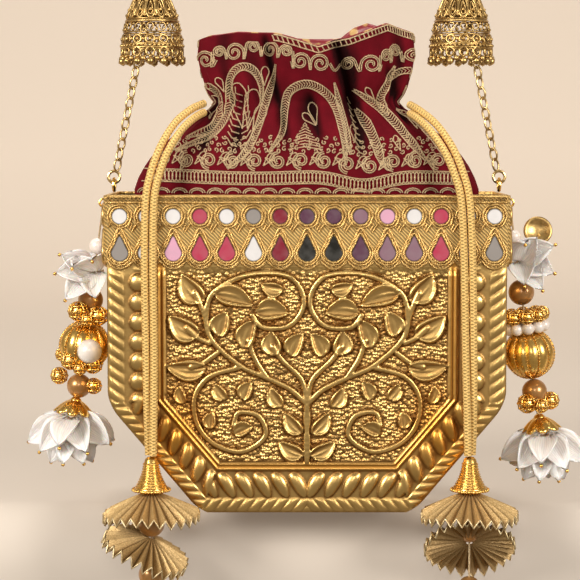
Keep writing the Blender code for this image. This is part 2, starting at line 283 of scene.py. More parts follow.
def velvet(colours):
    look = Look("maroon_velvet", colours.velvet, 0.85, 0.0, Sheen_Weight=0.1, Specular_IOR_Level=0.08)
    look.set("Sheen Tint", (0.8, 0.06, 0.1, 1))
    crush = look.ramp(look.noise(90, 4.0), 0.3, 0.75)
    pile = look.mix(crush, shade(colours.velvet, 0.72), shade(colours.velvet, 1.15))
    # Painted shade: the fold attribute darkens the creases towards near black.
    look.set("Base Color", look.mix(look.attribute("fold"), pile, (0.006, 0.001, 0.001)))
    look.set("Normal", look.bump(look.noise(2600, 2.0), 0.0004, 0.5))
    return look


def satin():
    look = Look("satin_lining", (0.3, 0.01, 0.02), 0.4, 0.0, Sheen_Weight=0.1)
    flower = look.node("TexVoronoi", {"feature": "F1"}, Vector=look.coords(), Scale=170.0)
    gold = look.ramp(look.field(flower, "Distance") + look.noise(500) * 0.3, 0.62, 0.5)
    look.set("Base Color", look.mix(gold, (0.2, 0.006, 0.012), (0.5, 0.3, 0.1)))
    look.set("Normal", look.bump(look.noise(1800), 0.0002, 0.4))
    return look


def braided(name, colour, rows, turns, roughness=0.42, metallic=0.45):
    """Braid or rope: slanted strands that cross, laid on the piece's own UV map."""
    look = Look(name, colour, roughness, metallic)
    split = look.node("SeparateXYZ", None, Vector=look.coords("UV"))
    along = look.field(split, 0) * (rows * 2 * math.pi)
    around = look.field(split, 1) * (turns * 2 * math.pi)
    weave = (along + around).sine().maximum((along - around).sine())
    shadow = look.ramp(weave, -0.2, 0.75)
    look.set("Base Color", look.mix(shadow, shade(colour, 0.62), colour))
    look.set("Normal", look.bump(weave, 0.0004, 0.9))
    return look


def zari(colours):
    """Couched metal cord: fine wrapped thread."""
    look = Look("zari_cord", colours.zari, 0.42, 0.4)
    wrap = look.ramp(look.noise(2200, 2.0), 0.35, 0.62)
    look.set("Base Color", look.mix(wrap, shade(colours.zari, 0.5), shade(colours.zari, 1.15)))
    look.set("Normal", look.bump(wrap, 0.0003, 0.8))
    return look


def lace(colours):
    look = Look("mirror_lace", colours.zari, 0.45, 0.55)
    settings = {"bands_direction": "DIAGONAL"}
    weave = look.node("TexWave", settings, Vector=look.coords(), Scale=330.0, Distortion=2.0)
    thread = look.ramp(look.field(weave, "Fac"), 0.1, 0.8)
    look.set("Base Color", look.mix(thread, shade(colours.gold, 0.45), colours.gold))
    look.set("Normal", look.bump(thread, 0.0005, 0.9))
    return look


def tissue():
    """Thin metallic tissue."""
    look = Look("gold_tissue", (0.55, 0.39, 0.17), 0.42, 0.55)
    weave = look.noise(1700, 2.0)
    threads = look.mix(look.ramp(weave, 0.3, 0.7), (0.4, 0.25, 0.085), (0.72, 0.5, 0.23))
    # Painted shade: the fold attribute darkens the pleats' valleys.
    look.set("Base Color", look.mix(look.attribute("fold"), threads, (0.14, 0.07, 0.02)))
    look.set("Normal", look.bump(weave, 0.0003, 0.6))
    return look


def pearl(name, colour, light):
    look = Look(name, colour, 0.3, 0.55 if "bronze" in name else 0.05, Coat_Weight=0.5, Coat_Roughness=0.15)
    cloud = look.noise(150, 3.0)
    look.set("Base Color", look.mix(look.ramp(cloud, 0.35, 0.7), colour, light))
    look.set("Normal", look.bump(look.noise(1300), 0.00006, 0.5))
    return look


def shell(colours):
    """Nacre with fine growth lines."""
    look = Look("shell_petal", colours.shell, 0.3, 0.0, Coat_Weight=0.35, Subsurface_Weight=0.15)
    look.set("Subsurface Scale", 0.003)
    streak = look.stripes(0, 13) * 0.5 + look.noise(240) * 0.5
    look.set("Base Color", look.mix(look.ramp(streak, 0.2, 0.8), shade(colours.shell, 0.84), colours.shell))
    look.set("Normal", look.bump(streak, 0.0003, 0.5))
    return look


def mirror_glass():
    """Mirror whose colour comes from the piece's own attribute: partly the glass's tint, partly painted reflection.
    """
    look = Look("mirror_glass", (1, 1, 1), 0.12, 0.25, Coat_Weight=0.8, Coat_Roughness=0.04)
    tint = look.node("Attribute", {"attribute_name": "tint"}).outputs["Color"]
    grey = look.ramp(look.noise(180, 2.0), 0.3, 0.75)
    look.set("Base Color", look.mix(grey * 0.18, tint, (0.4, 0.38, 0.37)))
    look.set("Normal", look.bump(look.noise(500), 0.00004, 0.5))
    return look


def felt():
    look = Look("black_felt", (0.012, 0.01, 0.01), 0.95)
    look.set("Base Color", look.mix(look.noise(900), (0.006, 0.005, 0.005), (0.03, 0.025, 0.022)))
    look.set("Normal", look.bump(look.noise(2200), 0.0003, 0.7))
    return look


def make_looks(colours):
    gold, painted_shade = tuple(colours.gold), tuple(colours.gold_shade)
    LOOKS.update(
        embossed=embossed_gold(colours),
        antique=plain_gold("antique_gold", (0.6, 0.4, 0.15), 0.32, (0.16, 0.08, 0.025)),
        bright=plain_gold("bright_gold", (0.88, 0.56, 0.16), 0.24, (0.42, 0.2, 0.04), 0.00004),
        chain=plain_gold("chain_gold", (0.72, 0.52, 0.24), 0.28, (0.3, 0.18, 0.06)),
        velvet=velvet(colours),
        satin=satin(),
        rope=plain_gold("lace_rope", (0.64, 0.42, 0.155), 0.36, (0.3, 0.16, 0.04)),
        cord=braided("gold_cord", tuple(colours.braid), 110, 3, 0.5, 0.15),
        zari=zari(colours),
        lace=lace(colours),
        tissue=tissue(),
        bronze=pearl("bronze_pearl", (0.4, 0.19, 0.055), (0.55, 0.29, 0.1)),
        white=pearl("white_pearl", (0.8, 0.7, 0.62), (0.88, 0.82, 0.77)),
        shell=shell(colours),
        glass=mirror_glass(),
        felt=felt(),
        edge=plain_gold("stitched_edge", (0.8, 0.66, 0.4), 0.45, shade(gold, 0.6)),
        # Painted shade: the dark gold stands for the shade inside the jhumka bells.
        dark=plain_gold("painted_shade_gold", (0.3, 0.18, 0.06), 0.4, painted_shade),
    )


# ---------------------------------------------------------------- making pieces


def place_piece(name, mesh, look, body, replaces=(), smooth=True):
    """Puts a finished mesh in the scene, parents it to its body's empty and hides the imported parts it stands for.
    """
    mesh.name = name
    if smooth:
        mesh.shade_smooth()
    mesh.materials.clear()
    mesh.materials.append(LOOKS[look].material)
    piece = bpy.data.objects.new(name, mesh)
    bpy.context.scene.collection.objects.link(piece)
    if replaces:
        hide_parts(*replaces)
    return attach(piece, body)


def mesh_of(bm):
    mesh = bpy.data.meshes.new("piece")
    bmesh.ops.recalc_face_normals(bm, faces=bm.faces)
    bm.to_mesh(mesh)
    bm.free()
    return mesh


def wire_mesh(paths, radius, cyclic=False, resolution=1):
    """Round wires along paths of points in metres, as one mesh with a UV map along and round each."""
    curve = bpy.data.curves.new("wires", "CURVE")
    curve.dimensions = "3D"
    curve.bevel_depth = radius
    curve.bevel_resolution = resolution
    curve.use_fill_caps = not cyclic
    for path in paths:
        spline = curve.splines.new("POLY")
        spline.points.add(len(path) - 1)
        flat = [value for point in path for value in (*point, 1.0)]
        spline.points.foreach_set("co", flat)
        spline.use_cyclic_u = cyclic
    holder = bpy.data.objects.new("wires", curve)
    bpy.context.scene.collection.objects.link(holder)
    mesh = bpy.data.meshes.new_from_object(holder.evaluated_get(bpy.context.evaluated_depsgraph_get()))
    bpy.data.objects.remove(holder)
    bpy.data.curves.remove(curve)
    return mesh


def join_meshes(meshes):
    bm = bmesh.new()
    for mesh in meshes:
        bm.from_mesh(mesh)
        bpy.data.meshes.remove(mesh)
    joined = bpy.data.meshes.new("joined")
    bm.to_mesh(joined)
    bm.free()
    return joined


def circle_path(centre, radius, across, up, count=20, start=0.0):
    """Points of a circle in the plane of two directions."""
    turns = [start + 2 * math.pi * i / count for i in range(count)]
    return [centre + across * (radius * math.cos(a)) + up * (radius * math.sin(a)) for a in turns]


X_AXIS, Y_AXIS, Z_AXIS = Vector((1, 0, 0)), Vector((0, 1, 0)), Vector((0, 0, 1))


def rope_paths(path, radius, pitch, cyclic, strands=2):
    """Strands that twist round a path of points in the X-Z plane or along Z."""
    count = len(path)
    lengths = [0.0]
    for a, b in zip(path, path[1:]):
        lengths.append(lengths[-1] + (b - a).length)
    total = lengths[-1] + ((path[0] - path[-1]).length if cyclic else 0)
    turns = max(1, round(total / pitch))
    found = []
    for strand in range(strands):
        line = []
        for i, point in enumerate(path):
            ahead = path[(i + 1) % count] if cyclic or i + 1 < count else point
            behind = path[i - 1] if cyclic or i else point
            way = (ahead - behind).normalized()
            side = way.cross(Y_AXIS)
            side = side.normalized() if side.length > 1e-4 else X_AXIS
            out = side.cross(way)
            angle = 2 * math.pi * (turns * lengths[i] / total + strand / strands)
            line.append(point + side * (radius * math.cos(angle)) + out * (radius * math.sin(angle)))
        found.append(line)
    return found


def smooth_route(points, spacing):
    """Points at an even spacing on a Catmull-Rom curve through the given ones."""
    points = [Vector(p) for p in points]
    ends = [points[0] * 2 - points[1], *points, points[-1] * 2 - points[-2]]
    fine = []
    for p0, p1, p2, p3 in zip(ends, ends[1:], ends[2:], ends[3:]):
        for i in range(16):
            t = i / 16
            fine.append(
                0.5 * (2 * p1 + (p2 - p0) * t + (2 * p0 - 5 * p1 + 4 * p2 - p3) * t**2
                       + (3 * p1 - p0 - 3 * p2 + p3) * t**3)
            )
    fine.append(points[-1])
    length = sum((b - a).length for a, b in zip(fine, fine[1:]))
    count = max(2, round(length / spacing))
    even, travelled, target = [fine[0]], 0.0, length / count
    for a, b in zip(fine, fine[1:]):
        step = (b - a).length
        while len(even) < count and travelled + step >= target * len(even):
            even.append(a.lerp(b, (target * len(even) - travelled) / step))
        travelled += step
    return even + [points[-1]]


def turned_mesh(profile, place, steps=40, lean=None):
    """A profile of radius and height in millimetres, spun about Z and put in place."""
    bm = bmesh.new()
    verts = [bm.verts.new((max(r, 0.0) * MM, 0, z * MM)) for r, z in profile]
    edges = [bm.edges.new(pair) for pair in zip(verts, verts[1:])]
    bmesh.ops.spin(
        bm, geom=verts + edges, cent=(0, 0, 0), axis=(0, 0, 1), angle=2 * math.pi, steps=steps, use_merge=True
    )
    bmesh.ops.remove_doubles(bm, verts=bm.verts, dist=1e-6)
    bmesh.ops.transform(bm, matrix=Matrix.Translation(place) @ (lean or Matrix.Identity(4)), verts=bm.verts)
    return mesh_of(bm)


def ball_profile(radius, count=14):
    return [(radius * math.sin(math.pi * i / count), radius * math.cos(math.pi * i / count))
            for i in range(count + 1)]


def ball_mesh(centre, radius, fine=2):
    bm = bmesh.new()
    bmesh.ops.create_icosphere(bm, subdivisions=fine, radius=radius, matrix=Matrix.Translation(centre))
    return mesh_of(bm)


def centre_of(node):
    low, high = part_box(node)
    return (low + high) / 2


# ---------------------------------------------------------------- embossed box

# Half of the embossed tree, as X and height from the rim in millimetres; the other half mirrors it.
VINES = [
    [(0, -134), (0.6, -124), (-0.5, -113), (0, -103)],
    [(0, -105), (-8, -97.5), (-20, -91.5), (-34, -85), (-48.5, -71), (-50, -57), (-45.5, -47.5), (-29, -39.5),
     (-11.5, -39.5), (-3, -47), (-2.2, -57), (-9.5, -65.5), (-22, -66), (-27.5, -60)],
    [(-33, -86), (-49, -91), (-56.5, -102), (-54.5, -116), (-45.5, -125.5), (-32, -128.5), (-21, -121),
     (-24, -111), (-34, -109), (-37, -115.5)],
    [(0, -103), (-3, -92), (-12, -83), (-17, -76)],
    [(-20, -91.5), (-26, -82), (-29, -73)],
    [(-49, -70), (-52, -58), (-56, -49)],
    [(-49, -74), (-55, -71), (-60, -66.5)],
    [(-45, -79), (-52, -84), (-58, -86)],
]
# Half of the leaves: middle X, middle height, turn from the X axis in degrees, length, width.
LEAVES = [
    (-57.5, -46.5, 128, 16, 9.5), (-61.5, -65.5, 146, 16.5, 9.5), (-60.5, -86.2, 176, 18, 8.5),
    (-36.5, -52, -18, 18, 8.5), (-42, -64.5, 70, 12, 8), (-29, -69.5, 68, 14, 8), (-17.5, -58.6, -2, 15, 9),
    (-16.8, -74, 100, 11.5, 8), (-17.5, -46, 165, 10.5, 6), (-5.2, -75, 62, 12, 7.5), (-43.5, -98.5, 120, 9, 6),
    (-30, -98, 65, 9.5, 6), (-15.5, -101.5, 118, 10.5, 6.5), (-48, -113, 80, 8.5, 5.5), (-32, -118, 20, 9.5, 6),
    (-7, -114.5, 128, 12.5, 6.5), (-8, -127.5, 150, 13, 7), (-63, -100, 100, 9, 5),
]


def inset_of(x, z):
    """How far in from the box's outline each point is (0 there, 1 at the field's edge), and along it."""
    x = np.abs(x)
    slope_x, slope_z = HALF_WIDTH - BOTTOM_HALF, HEIGHT - CHAMFER_TOP
    length = math.hypot(slope_x, slope_z)
    side = (HALF_WIDTH - x) / SIDE_BORDER
    slant = -((x - HALF_WIDTH) * slope_z - (z + CHAMFER_TOP) * slope_x) / length
    along_slant = (-(x - HALF_WIDTH) * slope_x - (z + CHAMFER_TOP) * slope_z) / length
    slanting, base = slant / SLANT_BORDER, (HEIGHT + z) / BASE_BORDER
    inset = np.minimum(np.minimum(side, slanting), base)
    which = np.argmin(np.stack([side, slanting, base]), axis=0)
    along = np.choose(which, [-z, along_slant + 4.0, BOTTOM_HALF - x])
    return inset, along, which


def bump_between(values, low, high):
    """A half-sine rise between two values, 0 outside them."""
    share = np.clip((values - low) / (high - low), 0, 1)
    return np.sin(math.pi * share)


def border_relief(x, z):
    """Mouldings, bosses and slanted gadroons of the box's borders, in millimetres."""
    inset, along, which = inset_of(x, z)
    outer = bump_between(inset, 0.03, 0.29)
    height = 0.25 + 0 * x
    slanted = np.abs(np.sin(math.pi * (along - inset * 20) / 5.6))
    height = np.where(outer > 0, 0.2 + 1.0 * outer**0.4 * slanted**0.6, height)
    pitch = np.where(which == 0, 10.0, 9.0)
    centre = np.where(which == 0, along + 1.5, along + (inset - 0.55) * 11)
    phase = (np.mod(centre, pitch) - pitch / 2) / (pitch * 0.46)
    across = (inset - 0.55) / np.where(which == 0, 0.165, 0.25)
    reach = np.where(which == 0, phase**2 + across**2, phase**2 * (1.25 - 0.5 * across) + across**2)
    boss = 2.5 * np.sqrt(np.clip(1 - reach, 0, 1))
    height = np.where((inset > 0.3) & (inset < 0.82), np.maximum(height, boss), height)
    height = height + 1.3 * bump_between(inset, 0.84, 0.92) ** 0.7
    height = height + bump_between(inset, 0.93, 1.01) ** 0.7
    return height, inset


def leaf_relief(x, z, leaf):
    """One cupped leaf: a raised rim round a hollow with a rib; the second field is the leaf's own shade."""
    middle_x, middle_z, turn, length, width = leaf
    length, width = length * 1.12, width * 1.28
    c, s = math.cos(math.radians(turn)), math.sin(math.radians(turn))
    along = ((x - middle_x) * c + (z - middle_z) * s) / (length / 2)
    across = -(x - middle_x) * s + (z - middle_z) * c - 0.16 * width * (1 - along**2)
    inside = np.clip(1 - along**2, 0, 1)
    half = width / 2 * inside**0.72 * (1 - 0.3 * along) + 1e-6
    share = across / half
    near = np.abs(share)
    rim = 2.4 * np.sqrt(np.clip(1 - ((near - 0.82) / 0.2) ** 2, 0, 1))
    bowl = np.where(near < 0.9, 0.5 + 1.3 * near**2 + 0.45 * share, 0)
    rib = 0.55 * np.exp(-((across / 0.45) ** 2)) * np.clip(0.5 - along, 0, 1)
    return np.where((near < 1.02) & (inside > 0), np.maximum(rim, bowl) + rib, 0.0)


def tree_relief(x, z, vine_width):
    """The vines and leaves of the field, in millimetres."""
    points = []
    for vine in VINES:
        for side in (-1, 1):
            for point in smooth_route([(side * px, pz, 0) for px, pz in vine], 0.5):
                points.append(point)
    tree = KDTree(len(points))
    for i, point in enumerate(points):
        tree.insert(point, i)
    tree.balance()
    flat_x, flat_z = x.ravel(), z.ravel()
    distance = np.array([tree.find((a, b, 0))[2] for a, b in zip(flat_x, flat_z)]).reshape(x.shape)
    half = vine_width / 2
    ridge = 2.0 * np.sqrt(np.clip(1 - (distance / half) ** 2, 0, 1)) - 0.7 * np.exp(-((distance / 0.4) ** 2))
    height = np.where(distance < half, np.maximum(ridge, 0), 0)
    for leaf in LEAVES:
        for mirrored in (x, -x):
            height = np.maximum(height, leaf_relief(mirrored, z, leaf))
    return height


def soft_blur(grid, times):
    for _ in range(times):
        padded = np.pad(grid, 1, mode="edge")
        grid = (
            padded[1:-1, 1:-1] * 4 + padded[:-2, 1:-1] * 2 + padded[2:, 1:-1] * 2
            + padded[1:-1, :-2] * 2 + padded[1:-1, 2:] * 2
            + padded[:-2, :-2] + padded[2:, 2:] + padded[:-2, 2:] + padded[2:, :-2]
        ) / 16
    return grid


def half_width_at(z):
    """Half the box's width at a height below the rim, with rounded corners."""
    slope = (HALF_WIDTH - BOTTOM_HALF) / (HEIGHT - CHAMFER_TOP)
    plain = HALF_WIDTH - np.maximum(0, -z - CHAMFER_TOP) * slope
    corner = np.clip(1 - np.abs(-z - CHAMFER_TOP) / 7, 0, 1)
    foot = np.clip((-z - HEIGHT + 6) / 6, 0, 1)
    return plain - 1.6 * corner**2 - 3.4 * foot**2.2


def relief_plate(side, columns, rows, sizes):
    """An embossed plate whose grid fits the box's outline; side is -1 for the front and 1 for the back."""
    bm = bmesh.new()
    bmesh.ops.create_grid(bm, x_segments=columns, y_segments=rows, size=1.0)
    place = np.array([v.co for v in bm.verts])
    share, up = place[:, 0], (place[:, 1] - 1) / 2
    z = up * HEIGHT
    x = share * half_width_at(z)
    border, inset = border_relief(x, z)
    field = tree_relief(x, z, sizes.vine_width / MM)
    height = np.where(inset > 1.0, field, border)
    under_lace = np.clip((z + 40) / 4, 0, 1)
    height = height * (1 - under_lace)
    edge = np.clip(np.minimum((1 - np.abs(share)) * 60, np.minimum((z + HEIGHT) / 1.5, 1)), 0, 1)
    height = height * edge
    belly = np.clip(inset, 0, 1) ** 0.5
    scale = sizes.relief / (2.5 * MM)
    depth = (height * scale + belly) * MM
    order = np.lexsort((np.round(place[:, 0], 6), np.round(place[:, 1], 6)))
    grid = np.round(height, 4)[order].reshape(rows + 1, columns + 1)
    # Painted shade: points lying below their blurred surroundings get a hollow shade that darkens them.
    near_hollow, far_hollow = soft_blur(grid, 6) - grid, soft_blur(grid, 40) - grid
    hollow_shade_grid = np.clip(near_hollow * 1.5 + far_hollow * 0.45 + 0.06, 0, 0.92)
    hollow = np.zeros(len(place))
    hollow[order] = hollow_shade_grid.ravel()
    amber = np.exp(-(((np.abs(x) - 66) / 17) ** 2) - ((z + 118) / 22) ** 2) * 0.85
    amber = np.maximum(amber, 0.8 * np.exp(-(((inset - 0.93) / 0.07) ** 2)))
    ground = ((inset > 1.03) & (field < 0.05)).astype(float) * (1 - under_lace)
    face_y = FRONT_Y if side < 0 else -FRONT_Y
    for vert, vx, vz, vd in zip(bm.verts, x, z, depth):
        vert.co = (vx * MM, face_y * MM + side * vd, RIM + vz * MM)
    count = len(bm.verts)
    rim_edges = [e for e in bm.edges if e.is_boundary]
    walls = bmesh.ops.extrude_edge_only(bm, edges=rim_edges)["geom"]
    for vert in walls:
        if isinstance(vert, bmesh.types.BMVert):
            vert.co.y = (face_y - side * 1.6) * MM
    bmesh.ops.holes_fill(bm, edges=[e for e in bm.edges if e.is_boundary], sides=0)
    mesh = mesh_of(bm)
    spare = len(mesh.vertices) - count
    for label, values in (("hollow", hollow), ("ground", ground), ("amber", amber)):
        layer = mesh.attributes.new(label, "FLOAT", "POINT")
        layer.data.foreach_set("value", np.concatenate([values, np.full(spare, 0.2)]).astype(np.float32))
    return mesh


def make_box(sizes):
    front = relief_plate(-1, 318, 254, sizes)
    place_piece("box_front", front, "embossed", "bag", ["box_front_plate"])
    back = relief_plate(1, 200, 160, sizes)
    place_piece("box_back", back, "embossed", "bag", ["box_back_plate"])
    for node, look in (("box_side_band", "embossed"), ("box_lining", "felt")):
        dress_node(node, look)


def dress_node(node, look):
    """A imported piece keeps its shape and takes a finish."""
    piece = frame["nodes"][node]
    piece.data.materials.clear()
    piece.data.materials.append(LOOKS[look].material)
    for polygon in piece.data.polygons:
        polygon.material_index = 0


# ---------------------------------------------------------------- mirror lace

WHITE, GREY, ROSE = (0.86, 0.84, 0.84), (0.32, 0.29, 0.27), (0.52, 0.045, 0.1)
PLUM, MAUVE, PINK = (0.11, 0.035, 0.075), (0.28, 0.15, 0.2), (0.8, 0.42, 0.58)
CRIMSON, BLACK = (0.24, 0.004, 0.025), (0.01, 0.011, 0.009)
# Colours the mirrors show: partly the glass's tint, partly painted reflection.
ROUND_TINTS_AND_REFLECTIONS = [
    WHITE, WHITE, WHITE, ROSE, WHITE, GREY, CRIMSON, PLUM, PLUM, MAUVE, PINK, WHITE, ROSE, WHITE, WHITE,
]
DROP_TINTS_AND_REFLECTIONS = [
    GREY, WHITE, PINK, ROSE, ROSE, WHITE, CRIMSON, BLACK, BLACK, PLUM, MAUVE, MAUVE, ROSE, WHITE, GREY,
]
ROUND_ROW, DROP_ROW = -10.6, -28.6


def drop_outline(radius, count=28):
    """A teardrop round the origin with its point above."""
    points = []
    for i in range(count):
        a = 2 * math.pi * i / count
        x, z = radius * math.sin(a), -radius * math.cos(a)
        lift = max(0.0, z / radius)
        points.append((x * (1 - 0.42 * lift**1.3), z * (1 + 0.9 * lift**2)))
    return points


def round_outline(radius, count=24):
    return [(radius * math.sin(2 * math.pi * i / count), radius * math.cos(2 * math.pi * i / count))
            for i in range(count)]


def glass_mesh(outline, middle, y, tint, side):
    """A thin domed mirror of the given outline."""
    bm = bmesh.new()
    verts = [bm.verts.new(((middle[0] + x) * MM, y * MM, RIM + (middle[1] + z) * MM)) for x, z in outline]
    face = bm.faces.new(verts)
    made = bmesh.ops.extrude_face_region(bm, geom=[face])["geom"]
    top = [v for v in made if isinstance(v, bmesh.types.BMVert)]
    bmesh.ops.translate(bm, verts=top, vec=(0, side * 0.45 * MM, 0))
    cap = [f for f in made if isinstance(f, bmesh.types.BMFace)]
    bmesh.ops.inset_region(bm, faces=cap, thickness=0.6 * MM, depth=0)
    # Painted shade: the glass's sides and the ring round its cap take a fifth of its colour, as if shaded by the
    # rope bezel.
    tone = bm.verts.layers.float_color.new("tint")
    for vert in bm.verts:
        vert[tone] = (*shade(tint, 0.22), 1.0)
    for face in cap:
        for vert in face.verts:
            vert[tone] = (*tint, 1.0)
    return mesh_of(bm)


def make_lace(sizes):
    for label, side in (("front", -1), ("back", 1)):
        make_lace_face(label, side, sizes)
    for node in ("trim_front", "trim_back", "trim_left", "trim_right"):
        dress_node(node, "lace")
    for side, sign in SIDES:
        make_lace_end(side, sign)


def make_lace_face(label, side, sizes):
    """One long length of lace: mirrors, rope bezels and borders."""
    count, y = sizes.mirrors, -side * TRIM_Y
    pitch = 2 * HALF_WIDTH / count
    glass, ropes = [], []
    detailed = side < 0
    for i in range(count):
        x = -HALF_WIDTH + pitch * (i + 0.5)
        tints_and_reflections = ROUND_TINTS_AND_REFLECTIONS[i % 15], DROP_TINTS_AND_REFLECTIONS[i % 15]
        rows = (
            (
                round_outline(sizes.mirror_radius / MM),
                (round_outline(4.55, 36), round_outline(5.9, 44)),
                ROUND_ROW,
                tints_and_reflections[0],
            ),
            (drop_outline(4.3), (drop_outline(5.05, 44), drop_outline(6.3, 52)), DROP_ROW, tints_and_reflections[1]),
        )
        for glass_line, rope_lines, row, tint in rows:
            glass.append(glass_mesh(glass_line, (x, row), y, tint, side))
            for rope_line in rope_lines:
                path = [
                    Vector(((x + a) * MM, (y + side * 0.35) * MM, RIM + (row + b) * MM)) for a, b in rope_line
                ]
                ropes += rope_paths(path, 0.42 * MM, 2.0 * MM, True) if detailed else [path]
    radius = 0.46 * MM if detailed else 0.8 * MM
    rope_mesh = wire_mesh(ropes, radius, cyclic=True)
    place_piece(f"lace_ropes_{label}", rope_mesh, "rope", "bag")
    place_piece(f"lace_mirrors_{label}", join_meshes(glass), "glass", "bag", smooth=False)
    make_lace_borders(label, side, y, pitch, count)


def make_lace_borders(label, side, y, pitch, count):
    """Straight ropes along the top, a zigzag braid, and scalloped ropes along the foot."""
    lines = []
    for row in (-0.9, -3.6):
        steps = np.arange(-HALF_WIDTH, HALF_WIDTH + 0.1, 0.8)
        path = [Vector((x * MM, (y + side * 0.5) * MM, RIM + row * MM)) for x in steps]
        lines += rope_paths(path, 0.4 * MM, 2.2 * MM, False)
    zigzag = []
    for i in range(int(HALF_WIDTH * 2) + 1):
        height = -2.25 + 0.8 * (-1) ** i
        zigzag.append(Vector(((-HALF_WIDTH + i) * MM, (y + side * 0.45) * MM, RIM + height * MM)))
    lines.append(zigzag)
    foot = []
    for i in range(count * 12 + 1):
        x = -HALF_WIDTH + i * pitch / 12
        swing = abs(math.sin(math.pi * i / 12))
        foot.append(Vector((x * MM, (y + side * 0.3) * MM, RIM + (-32.4 - 4.4 * swing**0.8) * MM)))
    lines += rope_paths(foot, 0.45 * MM, 2.2 * MM, False)
    for i in range(count):
        for k in range(5):
            x = -HALF_WIDTH + pitch * i + (k - 2) * 0.9
            low = -17.2 + abs(k - 2) * 1.2
            if -HALF_WIDTH < x - 1 and x + 1 < HALF_WIDTH:
                lines.append([Vector(((x - 0.8) * MM, (y + side * 0.2) * MM, RIM + (low - 1.5) * MM)),
                              Vector(((x + 0.8) * MM, (y + side * 0.5) * MM, RIM + (low + 1.5) * MM))])
    place_piece(f"lace_borders_{label}", wire_mesh(lines, 0.46 * MM), "rope", "bag")


def make_lace_end(side, sign):
    """The lace across the box's narrow side."""
    low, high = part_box(f"trim_{side}")
    x = high.x if sign > 0 else low.x
    lines, glass = [], []
    for i in range(4):
        y = low.y + (high.y - low.y) * (i + 0.5) / 4
        for row, outline, tint in ((ROUND_ROW, round_outline(3.8), WHITE), (DROP_ROW, drop_outline(4.5), MAUVE)):
            lines.append(
                [Vector((x + sign * 0.4 * MM, y + a * 1.4 * MM, RIM + (row + b * 1.3) * MM)) for a, b in outline]
            )
            bm = bmesh.new()
            corners = [(x + sign * 0.2 * MM, y + a * MM, RIM + (row + b) * MM) for a, b in outline]
            bm.faces.new([bm.verts.new(corner) for corner in corners])
            made = bmesh.ops.extrude_face_region(bm, geom=bm.faces[:])["geom"]
            bmesh.ops.translate(
                bm, verts=[v for v in made if isinstance(v, bmesh.types.BMVert)], vec=(sign * 0.6 * MM, 0, 0)
            )
            mesh = mesh_of(bm)
            layer = mesh.attributes.new("tint", "FLOAT_COLOR", "POINT")
            layer.data.foreach_set("color", [*tint, 1.0] * len(mesh.vertices))
            glass.append(mesh)
    ropes = wire_mesh(lines, 1.0 * MM, cyclic=True)
    place_piece(f"lace_ropes_{side}", ropes, "rope", "bag")
    place_piece(f"lace_mirrors_{side}", join_meshes(glass), "glass", "bag", smooth=False)


# ---------------------------------------------------------------- pouch

# Height over the rim, half width and half depth of the pouch, in millimetres.
POUCH = [
    (-6, 88, 26), (2, 88.3, 27), (8, 86.2, 28), (13.5, 83.3, 28), (18, 80.2, 28), (22.5, 76.6, 27.5),
    (27.5, 71, 26.5), (32.5, 64.5, 24.5), (38, 57, 21), (43, 50.5, 17.5), (46.5, 48, 15.5), (50, 49.6, 16.5),
    (55, 52, 18.5), (62, 54.4, 20.5), (70, 55.7, 22), (78, 55, 22.5), (86, 55.5, 22.5),
]
NECK_Z = 46.5
# The top edge in front and behind: X and height over the rim.
TOP_FRONT = [(-56, 77.5), (-48, 79.5), (-33, 81), (-12, 80), (-4, 77.5), (4, 74), (12, 77), (19, 78.3), (29, 82),
             (39, 85.5), (46.5, 83.5), (56, 80)]
TOP_BACK = [(-56, 77.5), (-30, 81.5), (0, 79), (16, 79), (22, 84.5), (30, 87), (37, 85), (45, 82), (56, 80)]
POUCH_Z, POUCH_HALF, POUCH_DEPTH = (np.array(column, dtype=float) for column in zip(*POUCH))
# Creases: X and height at the top and at the foot, depth and width, in millimetres.
CREASES = [(-19.5, 72, -12, 36, 6.0, 2.6), (15.5, 74, 24, 46, 8.0, 3.2), (24, 46, 27, 24, 4.0, 3.0),
           (-47, 48, -52, 26, 4.0, 3.0), (42, 60, 50, 38, 3.6, 2.6), (3, 46, 6, 30, 3.0, 2.4),
           (-33, 47, -36, 28, 3.5, 2.6)]


def pouch_top(theta):
    """Height of the pouch's uneven top edge, round its mouth."""
    x = 55 * math.cos(theta)
    front = float(np.interp(x, *zip(*TOP_FRONT)))
    back = float(np.interp(x, *zip(*TOP_BACK)))
    blend = 0.5 - 0.5 * math.sin(theta)
    blend = blend * blend * (3 - 2 * blend)
    return back * (1 - blend) + front * blend


def pouch_point(theta, z, lift=0.0):
    """A point of the pouch's outer face in metres. Theta runs round it, with the front at -90 degrees."""
    half_width = float(np.interp(z, POUCH_Z, POUCH_HALF))
    half_depth = float(np.interp(z, POUCH_Z, POUCH_DEPTH))
    c, s = math.cos(theta), math.sin(theta)
    power = 2 / 2.25
    x = half_width * math.copysign(abs(c) ** power, c)
    y = half_depth * math.copysign(abs(s) ** power, s)
    side = 1 - 0.55 * abs(c) ** 3
    out = Vector((c / half_width, s / half_depth, 0)).normalized()
    reach = pouch_fold(theta, z, x) * side + lift
    return Vector(((x + out.x * reach) * MM, (y + out.y * reach) * MM, RIM + z * MM))


